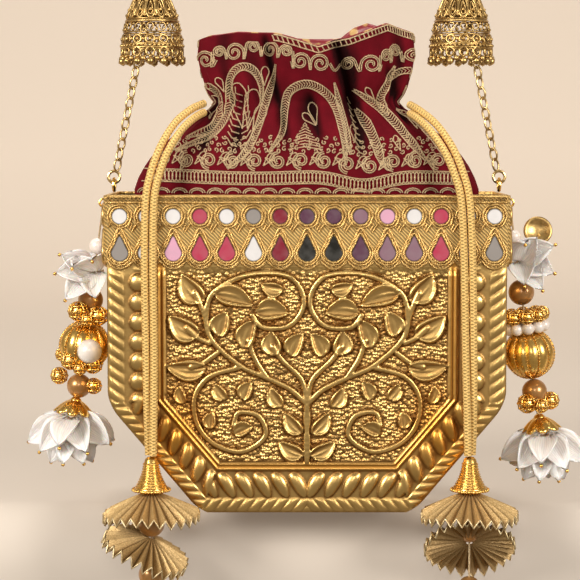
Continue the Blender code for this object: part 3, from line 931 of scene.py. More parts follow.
def pouch_fold(theta, z, x):
    """How far the cloth's gathers and creases stand off its plain shape, in millimetres."""
    c, s = math.cos(theta), math.sin(theta)
    gather = math.exp(-(((z - NECK_Z) / 10) ** 2))
    low = max(0.0, min(1.0, (z - 6) / 26)) if z <= NECK_Z else 1.0
    ruffle = max(0.0, min(1.0, (z - NECK_Z) / 22))
    fold = 1.1 * gather * math.sin(34 * theta + 1.3 * math.sin(3 * theta))
    fold += 1.3 * low * (1 - 0.55 * ruffle) * math.sin(17 * theta + 1.1 * math.sin(2 * theta + 0.6) + 0.02 * z)
    fold += 1.9 * ruffle * math.sin(8 * theta + 1.4 * math.sin(2 * theta + 1.0) + 0.05 * z)
    for top_x, top_z, foot_x, foot_z, depth, width in CREASES:
        share = (z - foot_z) / (top_z - foot_z)
        if -0.5 < share < 1.4:
            middle = foot_x + (top_x - foot_x) * share
            middle = middle if s < 0 else -middle
            fade = min(1.0, (share + 0.5) / 0.5, (1.4 - share) / 0.4)
            fold -= depth * fade * math.exp(-(((x - middle) / width) ** 2))
    return fold + 0.8 * noise.noise((3 * c, 3 * s, z * 0.06)) * (1 + low)


def pouch_skin(columns, rows, inset, top_drop):
    """The pouch's cloth as a grid rolled round, from inside the rim to the top edge."""
    bm = bmesh.new()
    bmesh.ops.create_grid(bm, x_segments=columns, y_segments=rows, size=1.0)
    # The fold attribute holds painted shade: the deeper a crease, the darker the velvet there.
    painted_shade = bm.verts.layers.float.new("fold")
    for vert in bm.verts:
        theta = math.pi * vert.co.x + math.pi / 2
        top = pouch_top(theta) - top_drop
        z = -6 + (top + 6) * (vert.co.y + 1) / 2
        reach = math.copysign(abs(math.cos(theta)) ** 0.889, math.cos(theta))
        x = float(np.interp(z, POUCH_Z, POUCH_HALF)) * reach
        vert[painted_shade] = max(0.0, min(0.97, -0.33 * pouch_fold(theta, z, x) - 0.12))
        vert.co = pouch_point(theta, z, -inset)
    bmesh.ops.remove_doubles(bm, verts=bm.verts, dist=1e-5)
    return mesh_of(bm)


def make_pouch(sizes):
    skin = pouch_skin(300, 84, 0, 0)
    cloth = place_piece("pouch", skin, "velvet", "bag", ["pouch_velvet"])
    wall = cloth.modifiers.new("Cloth", "SOLIDIFY")
    wall.thickness, wall.offset = 1.0 * MM, -1
    lining = pouch_skin(220, 40, 1.9, -0.6)
    satin_cloth = place_piece("pouch_brocade", lining, "satin", "bag", ["pouch_lining"])
    wall = satin_cloth.modifiers.new("Cloth", "SOLIDIFY")
    wall.thickness, wall.offset = 0.4 * MM, -1
    make_embroidery(sizes)


# Broad bands of laced braid on the front: width, then X and height over the rim, in millimetres.
BANDS = [
    (3.4, [(-57, 54.5), (-49.5, 54.5), (-45, 49), (-44.6, 40), (-50, 33), (-60, 28.5)]),
    (3.6, [(-66, 22), (-56, 26.5), (-47, 31), (-41, 38.5), (-38.8, 47), (-39.4, 56.5), (-36, 62.4), (-31, 64),
           (-26, 61), (-23, 54), (-23, 46)]),
    (3.4, [(-15.8, 65), (-17.9, 56), (-21.2, 45), (-25.3, 32), (-31, 21), (-40, 13)]),
    (3.8, [(-19, 21), (-12.5, 31), (-11.4, 43), (-8.7, 51.5), (-0.5, 55.3), (7.8, 52), (14, 45), (17.4, 34),
           (19.5, 16)]),
    (2.6, [(13.8, 56), (16, 47), (19, 35), (21.6, 20)]),
    (3.8, [(24.4, 52.5), (29.4, 48.5), (37, 43.5), (45, 35.5), (52, 27), (60, 17)]),
    (3.2, [(44.6, 64.5), (41.5, 57), (37, 48), (41, 40)]),
    (4.2, [(26, 43), (31, 34), (35, 24), (38, 14)]),
    (3.0, [(42.5, 57), (46, 61), (52, 62.3), (56, 59)]),
    (2.8, [(46, 43), (55, 38), (63, 29), (70, 18)]),
    (2.8, [(-63, 30.5), (-68, 23), (-72, 17)]),
]
# Scrolls of doubled cord: X, height, radius and hand.
SCROLLS = [
    (-50.5, 67.5, 4.6, -1), (-44.6, 71.5, 2.8, 1), (-36.6, 71, 4.8, 1), (-27.2, 74, 3.6, -1), (-18.6, 72.3, 4.2, 1),
    (-10.2, 71.5, 3.2, -1), (-3.2, 66.4, 4.4, 1), (6.6, 65.4, 4.8, -1), (21.5, 65.4, 3.4, 1), (32, 65, 4.8, -1),
    (39.6, 69.4, 3.2, 1), (45, 72, 3.2, -1), (53, 69.8, 3.8, 1),
]
# Drop-shaped loops: X and height of the point, lean in degrees, length.
LOOPS = [
    (-41.6, 51.5, 118, 8), (-21.4, 54.5, 88, 9.5), (4.6, 34.5, 138, 9), (5, 35, 104, 11.5), (34, 47.5, 128, 7.5),
    (-30, 33, 80, 20), (-33, 33, 96, 23), (-27.5, 31, 68, 15), (50, 45, 80, 10), (56, 33, 110, 9),
    (-50, 38, 80, 12), (24, 26, 96, 9), (46.5, 22, 110, 8), (-64, 12, 60, 7), (64, 12, 110, 8),
]


def spiral(x, z, radius, turns=1.7, start=0.0, hand=1, count=26):
    """A flat scroll about a point of the cloth."""
    points = []
    for i in range(count):
        t = i / (count - 1)
        a = start + hand * 2 * math.pi * turns * t
        r = radius * (1 - 0.85 * t)
        points.append((x + r * math.cos(a), z + r * math.sin(a)))
    return points


def double(line, gap):
    """Two cords side by side along a line; the gap may taper along it."""
    left, right = [], []
    for i, (x, z) in enumerate(line):
        a, b = line[max(i - 1, 0)], line[min(i + 1, len(line) - 1)]
        dx, dz = b[0] - a[0], b[1] - a[1]
        size = math.hypot(dx, dz) or 1
        reach = gap(i / (len(line) - 1)) if callable(gap) else gap
        left.append((x - dz / size * reach, z + dx / size * reach))
        right.append((x + dz / size * reach, z - dx / size * reach))
    return [left, right]


def curve_through(points, spacing=1.0):
    return [(p.x, p.y) for p in smooth_route([(x, z, 0) for x, z in points], spacing)]


def woven_band(width, points):
    """A blade of braid: two rails that taper at the ends, with slanted strands packed between them."""
    line = curve_through(points, 1.35)
    rails = double(line, lambda t: width / 2 * (0.22 + 0.78 * min(1.0, 4 * t, 5 * (1 - t))))
    lines = list(rails)
    for i in range(len(line) - 2):
        middle = ((rails[0][i + 1][0] + rails[1][i + 1][0]) / 2, (rails[0][i + 1][1] + rails[1][i + 1][1]) / 2)
        lines.append([rails[0][i], middle, rails[1][i]])
    return lines


def drop_loop(x, z, lean, length):
    c, s = math.cos(math.radians(lean)), math.sin(math.radians(lean))
    outline = [
        (0, 0), (0.35, 0.1), (0.72, 0.2), (0.95, 0.1), (1, 0), (0.95, -0.1), (0.72, -0.2), (0.35, -0.1), (0, 0),
    ]
    return curve_through([(x + (a * c - b * s) * length, z + (a * s + b * c) * length) for a, b in outline], 0.9)


def dip(x):
    """How far the foot rows sag at an X."""
    return -5.0 * math.exp(-(((x - 28) / 15) ** 2)) + 0.8 * math.sin(x / 17)


def cloth_lines():
    """Every line of the embroidery on the front, as X and height over the rim."""
    lines = []
    for x in np.arange(-80, 79, 1.9):
        sag = dip(x)
        ring = [(x + 1.15 * math.cos(a), 8.8 + sag + 2.7 * math.sin(a)) for a in np.linspace(0, 2 * math.pi, 11)]
        lines.append(ring)
    for row in (5.7, 12.0):
        lines.append([(x, row + dip(x)) for x in np.arange(-84, 84, 1.5)])
    for x in np.arange(-82, 80, 9.0):
        lines.append([(x + 4.0 * math.cos(a), 0.6 + 2.6 * math.sin(a)) for a in np.linspace(0.1, math.pi, 9)])
        lines.append([(x + 2.9 * math.cos(a), 0.6 + 1.7 * math.sin(a)) for a in np.linspace(0.1, math.pi, 7)])
    for i, x in enumerate(np.arange(-72, 74, 11.5)):
        hand = 1 if i % 2 else -1
        lines += double(spiral(x, 17.2 + dip(x) * 0.7, 4.2, 1.5, math.pi / 2 * hand, hand), 0.5)
        lines.append(drop_loop(x + 4.2, 15.0 + dip(x) * 0.7, 50, 8))
        lines.append(drop_loop(x + 5.2, 19.0 + dip(x) * 0.7, -35, 6.5))
    for row, pitch, radius in ((22.6, 3.1, 1.35), (25.6, 3.3, 1.3), (28.4, 4.6, 1.2)):
        for x in np.arange(-64, 64, pitch):
            wobble = 0.8 * math.sin(x * 0.9) + dip(x) * 0.5
            lines.append(spiral(x, row + wobble, radius, 1.0, x, 1, 8))
    for i in range(9):
        reach = 8.5 * (1 - i / 9)
        lines.append([(-1 - reach, 22.5 + i * 1.5), (-1, 24 + i * 1.5), (-1 + reach, 22.5 + i * 1.5)])
    for width, points in BANDS:
        lines += woven_band(width, points)
    for x, z, radius, hand in SCROLLS:
        lines += double(spiral(x, z, radius, 1.6, math.pi * (0.5 - 0.5 * hand), hand), 0.42)
    for one, two in zip(SCROLLS, SCROLLS[1:]):
        middle = ((one[0] + two[0]) / 2, min(one[1], two[1]) - 3.4)
        sway = [(one[0] + one[2], one[1]), middle, (two[0] - two[2], two[1])]
        lines += double(curve_through(sway), 0.42)
    for loop in LOOPS:
        lines.append(drop_loop(*loop))
    for i in range(9):
        z = 24 + i * 3.2
        lines.append([(-35.5 + i * 0.35, z), (-38.5 + i * 0.35, z + 1.2), (-40 + i * 0.5, z + 4.4)])
        lines.append([(-34 + i * 0.35, z), (-30.5 + i * 0.2, z + 1.6), (-28 - i * 0.2, z + 5)])
        lines.append([(29 - i * 0.6, z - 4), (26.6 - i * 0.4, z - 3), (24.6 - i * 0.3, z - 0.4)])
    return lines


def edge_lines():
    """The ladder hem along the top edge, as angle and drop below the edge."""
    lines = []
    for i in range(150):
        theta = 2 * math.pi * i / 150
        if -1.85 + 2 * math.pi > theta > -2.9 + 2 * math.pi:
            continue
        lines.append([(theta, -0.7), (theta + 0.02, -3.3)])
    for drop in (-0.5, -3.4):
        lines.append([(2 * math.pi * i / 260 - 1.83, drop) for i in range(216)])
    return lines


def theta_at(x, z):
    """The angle round the pouch at which its front shows a given X."""
    share = max(-0.99, min(0.99, x / float(np.interp(z, POUCH_Z, POUCH_HALF))))
    return -math.acos(math.copysign(abs(share) ** 1.125, share))


def make_embroidery(sizes):
    lines, paths = cloth_lines(), []
    for turn in (0, math.pi):
        for line in lines:
            path = []
            for x, z in line:
                theta = theta_at(x, z) + turn
                path.append(pouch_point(theta, min(z, pouch_top(theta) - 4.4), 0.3))
            paths.append(path)
    for line in edge_lines():
        paths.append([pouch_point(theta, pouch_top(theta) + drop, 0.3) for theta, drop in line])
    cords = wire_mesh(paths, sizes.embroidery_radius, resolution=0)
    place_piece("pouch_embroidery", cords, "zari", "bag")


# ---------------------------------------------------------------- drawstrings and tassels

# Each drawstring tail: its points from the neck to the cone as X, Y and height over the rim, in millimetres.
DRAWSTRINGS = {
    "drawstring_left_outer": [
        (-52.2, -7.0, 45.8), (-58.5, -14.5, 42.6), (-66.2, -23.0, 35.6), (-73.0, -29.8, 24.0),
        (-77.6, -33.8, 11.0), (-80.0, -36.2, -2.5), (-80.7, -36.6, -28.0), (-80.6, -36.6, -52.5),
        (-80.2, -36.6, -80.0), (-79.9, -36.3, -105.0), (-79.5, -35.8, -120.0), (-79.2, -35.5, -129.9),
    ],
    "drawstring_left_inner": [
        (-52.0, -11.0, 41.2), (-56.4, -17.4, 38.5), (-62.6, -25.2, 32.4), (-69.0, -31.0, 22.0),
        (-73.4, -34.6, 10.0), (-75.8, -36.6, -2.5), (-76.5, -37.0, -28.0), (-76.4, -37.2, -52.5),
        (-76.2, -37.6, -80.0), (-76.4, -38.4, -105.0), (-76.7, -38.9, -120.0), (-76.8, -39.1, -129.9),
    ],
    "drawstring_right_outer": [
        (52.2, -7.0, 45.2), (57.6, -14.0, 41.6), (65.2, -22.6, 34.6), (72.4, -29.6, 23.6),
        (77.4, -33.8, 11.0), (80.5, -36.2, -2.5), (82.0, -36.6, -28.0), (82.6, -36.6, -52.5),
        (83.0, -36.6, -80.0), (83.2, -36.3, -105.0), (83.0, -35.8, -120.0), (82.7, -35.5, -129.9),
    ],
    "drawstring_right_inner": [
        (52.2, -11.0, 40.6), (56.0, -17.4, 37.9), (61.9, -25.2, 31.6), (68.4, -31.0, 21.6),
        (73.2, -34.6, 10.0), (76.3, -36.6, -2.5), (77.8, -37.0, -28.0), (78.4, -37.2, -52.5),
        (79.0, -37.6, -80.0), (79.7, -38.4, -105.0), (80.1, -38.9, -120.0), (80.3, -39.1, -129.9),
    ],
}
CORD_DIAMETER = 3.9 * MM


def make_drawstrings():
    for name, points in DRAWSTRINGS.items():
        route = smooth_route([(x * MM, y * MM, RIM + z * MM) for x, y, z in points], 1.5 * MM)
        mesh = wire_mesh([route], CORD_DIAMETER / 2, resolution=3)
        cord = place_piece(f"{name}_braid", mesh, "cord", "bag", [name])
        length = sum((b - a).length for a, b in zip(route, route[1:]))


def ribbed_cone(side):
    """Trumpet of stacked rings with a beaded foot."""
    hinge = HINGES[f"tassel_{side}_swing"]
    profile = [(0.0, 2.8), (2.0, 2.5), (3.1, 1.4), (3.4, 0.0)]
    rings = 10
    for i in range(rings):
        share = i / rings
        radius = 3.2 + 4.6 * share**1.7
        top = -0.3 - 12.6 * share
        for k in range(1, 6):
            profile.append((radius + 0.85 * math.sin(math.pi * k / 5) + 0.08 * k, top - 12.6 / rings * k / 5))
    profile += [(9.2, -13.4), (9.4, -14.0), (9.0, -14.5), (4.0, -14.4), (0.0, -14.3)]
    parts = [turned_mesh(profile, hinge, 40)]
    for i in range(30):
        a = 2 * math.pi * i / 30
        spot = hinge + Vector((9.2 * math.cos(a), 9.2 * math.sin(a), -13.9)) * MM
        parts.append(ball_mesh(spot, 0.85 * MM, 1))
    place_piece(f"tassel_{side}_cone_ribbed", join_meshes(parts), "bright", f"tassel_{side}",
                [f"tassel_{side}_cone"])


def pleated_fan(name, body, node, top, radius, drop, pleats, lean=None, depth=2.2):
    """A round of pleated tissue that falls from its hub, with a stitched zigzag edge."""
    bm = bmesh.new()
    columns = pleats * 4
    bmesh.ops.create_grid(bm, x_segments=columns, y_segments=9, size=1.0)
    turn = lean or Matrix.Identity(4)
    # The fold attribute holds painted shade, darkest in the pleats' valleys.
    pleat_shade = bm.verts.layers.float.new("fold")
    edge = []

    def cloth_point(share, out):
        a = share * math.pi
        ridge = abs(((share + 1) * pleats / 2) % 1.0 - 0.5) * 2 - 0.5
        r = 1.6 + (radius - 1.6) * out
        fall = drop * out**1.15 - depth * ridge * 2 * out
        wave = 0.9 * math.sin(3 * a + 0.7) * out**2
        return Vector((r * math.cos(a), r * math.sin(a), -fall + wave)) * MM

    for vert in bm.verts:
        ridge = abs(((vert.co.x + 1) * pleats / 2) % 1.0 - 0.5) * 2
        vert[pleat_shade] = 0.85 * (1 - ridge) * (1 - 0.35 * (vert.co.y + 1) / 2)
        vert.co = cloth_point(vert.co.x, (vert.co.y + 1) / 2)
    bmesh.ops.remove_doubles(bm, verts=bm.verts, dist=1e-6)
    bmesh.ops.transform(bm, matrix=Matrix.Translation(top) @ turn, verts=bm.verts)
    piece = place_piece(name, mesh_of(bm), "tissue", body, [node] if node else [], smooth=False)
    wall = piece.modifiers.new("Tissue", "SOLIDIFY")
    wall.thickness, wall.offset = 0.35 * MM, 0
    for i in range(columns + 1):
        edge.append(Matrix.Translation(top) @ turn @ cloth_point(-1 + 2 * i / columns, 1.0))
    place_piece(f"{name}_stitching", wire_mesh([edge], 0.5 * MM, resolution=0), "edge", body)


def make_tassel(side, sign, pleats):
    body = f"tassel_{side}"
    hinge = HINGES[f"tassel_{side}_swing"]
    ribbed_cone(side)
    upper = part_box(f"tassel_{side}_skirt_upper")
    skirt_top = Vector((hinge.x, hinge.y, upper[1].z))
    pleated_fan(f"{body}_skirt", body, f"{body}_skirt_upper", skirt_top, 24, 12.5, pleats)
    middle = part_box(f"{body}_fan_middle")
    top = Vector((hinge.x, hinge.y, middle[1].z))
    if side == "left":
        turn = Matrix.Rotation(math.radians(24), 4, "Y") @ Matrix.Rotation(math.radians(10), 4, "X")
        pleated_fan(f"{body}_fan_a", body, f"{body}_fan_middle", top, 22, 8.5, pleats - 2, turn, depth=2.8)
    else:
        turn = Matrix.Rotation(math.radians(-44), 4, "X")
        pleated_fan(f"{body}_fan_a", body, f"{body}_fan_middle", top, 22.5, 3.0, pleats - 2, turn, depth=2.8)
    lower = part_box(f"{body}_fan_lower")
    turn = Matrix.Rotation(math.radians(-12 * sign), 4, "Y")
    lower_top = Vector((hinge.x, hinge.y, lower[1].z))
    pleated_fan(f"{body}_fan_b", body, f"{body}_fan_lower", lower_top, 19, 7, pleats - 4, turn)
    for part, look in (("bead_upper", "bronze"), ("bead_middle", "bronze"), ("end_bead", "bright")):
        node = f"{body}_{part}"
        low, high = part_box(node)
        radius = (high.x - low.x) / 2 / MM
        mesh = turned_mesh(ball_profile(radius, 20), centre_of(node), 40)
        place_piece(f"{node}_round", mesh, look, body, [node])
    dress_node(f"{body}_thread", "zari")


# ---------------------------------------------------------------- side latkans


def petal_mesh(base, direction, normal, length, width, curl):
    """A pointed shell petal that cups towards its normal."""
    bm = bmesh.new()
    bmesh.ops.create_grid(bm, x_segments=10, y_segments=8, size=1.0)
    along = direction.normalized()
    side = along.cross(normal).normalized()
    up = side.cross(along).normalized()
    uv = bm.loops.layers.uv.new("UVMap")
    for face in bm.faces:
        for loop in face.loops:
            loop[uv].uv = (loop.vert.co.y * 0.5 + 0.5, loop.vert.co.x * 0.5 + 0.5)
    for vert in bm.verts:
        t, s = (vert.co.x + 1) / 2, vert.co.y
        half = width / 2 * (math.sin(math.pi * (0.1 + 0.9 * t)) ** 0.7 * (1 - 0.25 * t) + 0.02)
        lift = curl * math.sin(math.pi * 0.5 * t) ** 2 + 0.3 * width * s * s * math.sin(math.pi * t)
        ripple = 0.035 * width * math.sin(11 * s)
        vert.co = base + along * (length * t) + side * (half * s) + up * (lift + ripple)
    bmesh.ops.solidify(bm, geom=bm.faces[:], thickness=0.7 * MM)
    return mesh_of(bm)


def petal_flower(name, body, node, centre, specs):
    """Petals that leave one middle; each has its direction, length and width."""
    petals, beads = [], []
    for direction, length, width in specs:
        way = Vector(direction).normalized()
        normal = Vector((0, -1, 0.35)) if abs(way.y) < 0.75 else Vector((0, 0, 1))
        root = centre + way * 1.2 * MM
        petals.append(petal_mesh(root, way, normal, length * 1.22 * MM, width * 1.75 * MM, 2.2 * MM))
        beads.append(ball_mesh(centre + way * (length * 1.22 + 1.6) * MM, 1.1 * MM, 1))
    place_piece(f"{name}_shells", join_meshes(petals), "shell", body, [node])
    place_piece(f"{name}_tips", join_meshes(beads), "bright", body)


def filigree_ball(centre, radius):
    """A little open ball of wire rings with grains where they cross."""
    rings, grains = [], []
    for i in range(4):
        a = math.pi * i / 4
        across = Vector((math.cos(a), math.sin(a), 0))
        rings.append(circle_path(centre, radius, across, Z_AXIS, 16))
    for z in (-0.55, 0.0, 0.55):
        r = radius * math.sqrt(1 - z * z)
        rings.append(circle_path(centre + Z_AXIS * radius * z, r, X_AXIS, Y_AXIS, 16))
        for i in range(8):
            a = math.pi * i / 4
            spot = centre + Vector((r * math.cos(a), r * math.sin(a), radius * z))
            grains.append(ball_mesh(spot, radius * 0.17, 1))
    wires = wire_mesh(rings, radius * 0.1, cyclic=True, resolution=1)
    return [wires, ball_mesh(centre, radius * 0.82, 2), *grains]


def striped_ball(centre, radius, lean):
    """A large ball with gadroons and beaded meridians."""
    bm = bmesh.new()
    bmesh.ops.create_uvsphere(bm, u_segments=72, v_segments=28, radius=1.0)
    for vert in bm.verts:
        a = math.atan2(vert.co.y, vert.co.x)
        rise = math.sqrt(max(0, 1 - vert.co.z**2))
        vert.co *= radius * (0.93 + 0.06 * rise * abs(math.cos(6 * a)) ** 0.6)
    bmesh.ops.transform(bm, matrix=Matrix.Translation(centre) @ lean, verts=bm.verts)
    meshes = [mesh_of(bm)]
    lines = []
    for i in range(12):
        a = math.pi * (i + 0.5) / 6
        spots = []
        for k in range(1, 24):
            b = math.pi * k / 24
            spot = Vector((math.sin(b) * math.cos(a), math.sin(b) * math.sin(a), math.cos(b))) * radius * 0.97
            spots.append(centre + lean @ spot)
            meshes.append(ball_mesh(spots[-1], 0.5 * MM, 1))
        lines.append(spots)
    meshes.append(wire_mesh(lines, 0.28 * MM, resolution=0))
    return meshes


def cap_mesh(top, radius, drop, petals, lean):
    """A scalloped cap of gold leaves."""
    bm = bmesh.new()
    bmesh.ops.create_grid(bm, x_segments=petals * 6, y_segments=8, size=1.0)
    for vert in bm.verts:
        a, out = vert.co.x * math.pi, (vert.co.y + 1) / 2
        lobe = abs(math.cos(petals * a / 2)) ** 0.7
        r = 0.8 + (radius - 0.8) * out * (0.72 + 0.28 * lobe)
        vert.co = Vector((r * math.cos(a), r * math.sin(a), -drop * out**1.7 * (0.8 + 0.3 * lobe))) * MM
    bmesh.ops.remove_doubles(bm, verts=bm.verts, dist=1e-6)
    bmesh.ops.transform(bm, matrix=Matrix.Translation(top) @ lean, verts=bm.verts)
    bmesh.ops.solidify(bm, geom=bm.faces[:], thickness=0.5 * MM)
    return mesh_of(bm)


def make_latkan(side, sign):
    body = f"latkan_{side}"
    lean = Matrix.Rotation(-sign * math.radians(8), 4, "Y")
    for part, look in (("top_bead", "white"), ("bead_upper", "bronze"), ("bead_lower", "bronze")):
        node = f"{body}_{part}"
        low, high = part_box(node)
        mesh = turned_mesh(ball_profile((high.y - low.y) / 2 / MM, 20), centre_of(node), 40)
        place_piece(f"{node}_round", mesh, look, body, [node])
    ball = centre_of(f"{body}_ball")
    place_piece(f"{body}_ball_beaded", join_meshes(striped_ball(ball, 13.4 * MM, lean)), "bright", body,
                [f"{body}_ball"])
    upper, cap = centre_of(f"{body}_petals_upper"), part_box(f"{body}_cap")
    lower = centre_of(f"{body}_petals_lower")
    extras = []
    if side == "left":
        flower = [((-0.88, -0.35, 0.45), 15, 8.5), ((-0.9, -0.45, -0.05), 16, 9), ((-0.7, -0.5, -0.75), 17, 9),
                  ((0.12, -0.72, -0.75), 15, 9), ((0.05, -0.9, 0.3), 13, 8.5), ((-0.5, -0.85, 0.1), 14, 8.5),
                  ((-0.6, 0.75, -0.1), 14, 8), ((-0.2, 0.9, -0.5), 13, 8), ((0.1, 0.8, 0.35), 11, 7.5)]
        extras = [(5.5, -4, -62.5, 4.8), (-5, -5, -61.5, 4.8), (0.5, -7, -65, 3.4), (6, -4, -87.5, 4.8),
                  (-5.5, -5, -87, 4.8), (-10.5, 2, -85.5, 3.6), (-11, 4, -97, 4.2), (7.5, 1, -99.5, 4.0),
                  (0, -7.5, -90.5, 3.2)]
    else:
        flower = [((0.5, -0.6, 0.75), 15, 9), ((0.8, -0.45, 0.4), 17, 9), ((0.9, -0.5, -0.3), 16, 9),
                  ((0.1, -0.9, 0.5), 14, 9), ((0.62, -0.7, -0.8), 17, 9), ((0.1, -0.8, -0.7), 14, 8.5),
                  ((0.6, 0.75, -0.1), 14, 8), ((0.2, 0.9, -0.5), 13, 8), ((0.1, 0.8, 0.4), 12, 7.5)]
        extras = [(8.8 * math.sin(a), -8.8 * math.cos(a), -63.5, 3.7) for a in np.arange(0, 6.2, 0.785)]
        extras += [(7.5, 3, -109.5, 4.4), (-5, -3, -108.5, 4.8), (1.5, -7, -110, 3.6)]
    hinge = HINGES[f"{body}_swing"]
    petal_flower(f"{body}_flower", body, f"{body}_petals_upper", upper, flower)
    low_petals = []
    for i in range(9):
        a = 2 * math.pi * i / 9 + 0.35
        low_petals.append(((math.cos(a), math.sin(a), -0.6 - 0.25 * (i % 2)), 20, 9.5))
    for i in range(6):
        a = 2 * math.pi * i / 6 + 0.2
        low_petals.append(((0.45 * math.cos(a), 0.45 * math.sin(a), -1.0), 20, 8.5))
    petal_flower(f"{body}_bell", body, f"{body}_petals_lower", lower + Vector((0, 0, 7 * MM)), low_petals)
    caps = [cap_mesh(Vector((centre_of(f"{body}_cap").x, 0, cap[1].z)), 10.5, 6.5, 8, lean)]
    caps += [ball_mesh(Vector((centre_of(f"{body}_cap").x, 0, cap[1].z - 1 * MM)), 3.2 * MM, 2)]
    place_piece(f"{body}_cap_leaves", join_meshes(caps), "bright", body, [f"{body}_cap"])
    grains = []
    for along, forward, depth, radius in extras:
        spot = hinge + lean @ (Vector((along, forward - 2, depth + 5.5)) * MM)
        grains += filigree_ball(spot, radius * MM)
    place_piece(f"{body}_filigree", join_meshes(grains), "bright", body)
    if side == "left":
        spot = hinge + lean @ (Vector((4, -12.5, -75)) * MM)
        side_pearl = turned_mesh(ball_profile(6.2, 20), spot, 40)
        place_piece(f"{body}_side_pearl", side_pearl, "white", body)
    else:
        shells = []
        for i in range(10):
            a = math.pi * i / 5
            spot = hinge + lean @ (Vector((9.4 * math.sin(a), -9.4 * math.cos(a), -64.2)) * MM)
            shells.append(ball_mesh(spot, 3.3 * MM, 2))
        place_piece(f"{body}_side_shells", join_meshes(shells), "white", body)
        disc = hinge + lean @ (Vector((13, 4, -16)) * MM)
        coin = [(0, 0.6), (5.4, 0.3), (6, 1.1), (7.2, 1.1), (7.5, 0), (7.2, -0.8), (0, -0.8)]
        coin_mesh = turned_mesh(coin, disc, 40, Matrix.Rotation(math.radians(78), 4, "X"))
        place_piece(f"{body}_disc", coin_mesh, "antique", body)
    dress_node(f"{body}_cord", "zari")
    dress_node(f"{body}_ring", "bright")
    dress_node(f"side_hook_{side}", "bright")


# ---------------------------------------------------------------- handle and jhumkas


def chain_route():
    """The chain's middle line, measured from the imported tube: up from the left foot, over and down."""
    low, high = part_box("handle_chain")
    foot = (low.z - RIM) / MM
    top_x = 98.8
    lean, eye = 0.2, 5.3
    side = [Vector(((top_x - lean * (z - eye)) * MM, 0, RIM + z * MM)) for z in (foot, 60, 110, 150, 190)]
    middle = high.z - 2.2 * MM
    rise = middle - side[-1].z
    arch = []
    for i in range(1, 6):
        a = math.pi / 12 * i
        arch.append(Vector((side[-1].x * math.cos(a), 0, side[-1].z + rise * math.sin(a))))
    right = side + arch
    left = [Vector((-p.x, 0, p.z)) for p in right]
    return left + [Vector((0, 0, middle))] + right[::-1]


def oval_link(middle, way, normal, long_half, wide_half, count=14):
    """The centre line of one oval link."""
    points = []
    for i in range(count):
        a = 2 * math.pi * i / count
        points.append(middle + way * (long_half * math.cos(a)) + normal * (wide_half * math.sin(a)))
    return points


def make_chain(sizes):
    route = smooth_route(chain_route(), 5.3 * MM)
    links = []
    for i in range(len(route) - 1):
        a, b = route[i], route[i + 1]
        way = (b - a).normalized()
        side = way.cross(Y_AXIS).normalized()
        normal = (side + Y_AXIS * (0.75 if i % 2 else -0.75)).normalized()
        links.append(oval_link((a + b) / 2, way, normal, 3.2 * MM, 1.9 * MM, 18))
    place_piece("chain_links", wire_mesh(links, sizes.link_wire, cyclic=True, resolution=1), "chain", "handle",
                ["handle_chain"])
    for side, _ in SIDES:
        dress_node(f"chain_link_{side}", "chain")
        dress_node(f"side_eye_{side}", "bright")


# The bell's wall: radius and depth below its hinge, in millimetres.
BELL = [(5.4, 0), (7.0, 3), (9.6, 7.5), (12.2, 14), (14.3, 21), (15.2, 28), (15.5, 31)]
# Rings and pears on it: thick wire or not, half a step aside or not, depth, half height, half width, point, points.
BELL_WIRES = [
    (True, False, 9.9, 6.2, 2.5, 0.55, 14), (False, False, 11.2, 3.4, 1.3, 0.6, 10),
    (False, False, 20.4, 1.9, 1.7, 0, 10), (True, False, 26.8, 2.0, 2.3, 0, 10),
    (True, False, 33.2, 2.3, 2.1, 0, 10), (False, True, 33.9, 2.3, 2.0, 0, 10),
]
# Grains on it: half a step aside or not, depth, lift off the wall, radius.
BELL_GRAINS = [
    (False, 12.0, 0.3, 1.0), (True, 14.6, 0.4, 1.0), (True, 7.6, 0.2, 0.6), (True, 19.2, 0, 0.8),
    (True, 22.0, 0, 0.9), (False, 26.8, 0.3, 1.1), (True, 26.8, 0.3, 1.0), (False, 35.6, 0.4, 0.9),
    (False, 37.9, -0.1, 2.25), (True, 36.6, 0.2, 1.6),
]


def on_bell(hinge, angle, depth, lift=0.0):
    """A point of the bell's wall, by angle and depth below its hinge in millimetres."""
    radius = float(np.interp(depth, [d for _, d in BELL], [r for r, _ in BELL])) + lift
    return hinge + Vector((radius * math.cos(angle), radius * math.sin(angle), -depth)) * MM


def bell_outline(hinge, angle, middle, half_height, half_width, point, count):
    """A ring or, with a point, a pear drawn on the bell's wall."""
    found = []
    for i in range(count):
        a = 2 * math.pi * i / count
        depth = middle - half_height * math.cos(a)
        narrow = 1 - point * max(0.0, math.cos(a)) ** 0.8
        radius = float(np.interp(depth, [d for _, d in BELL], [r for r, _ in BELL]))
        found.append(on_bell(hinge, angle + half_width * math.sin(a) * narrow / radius, depth))
    return found


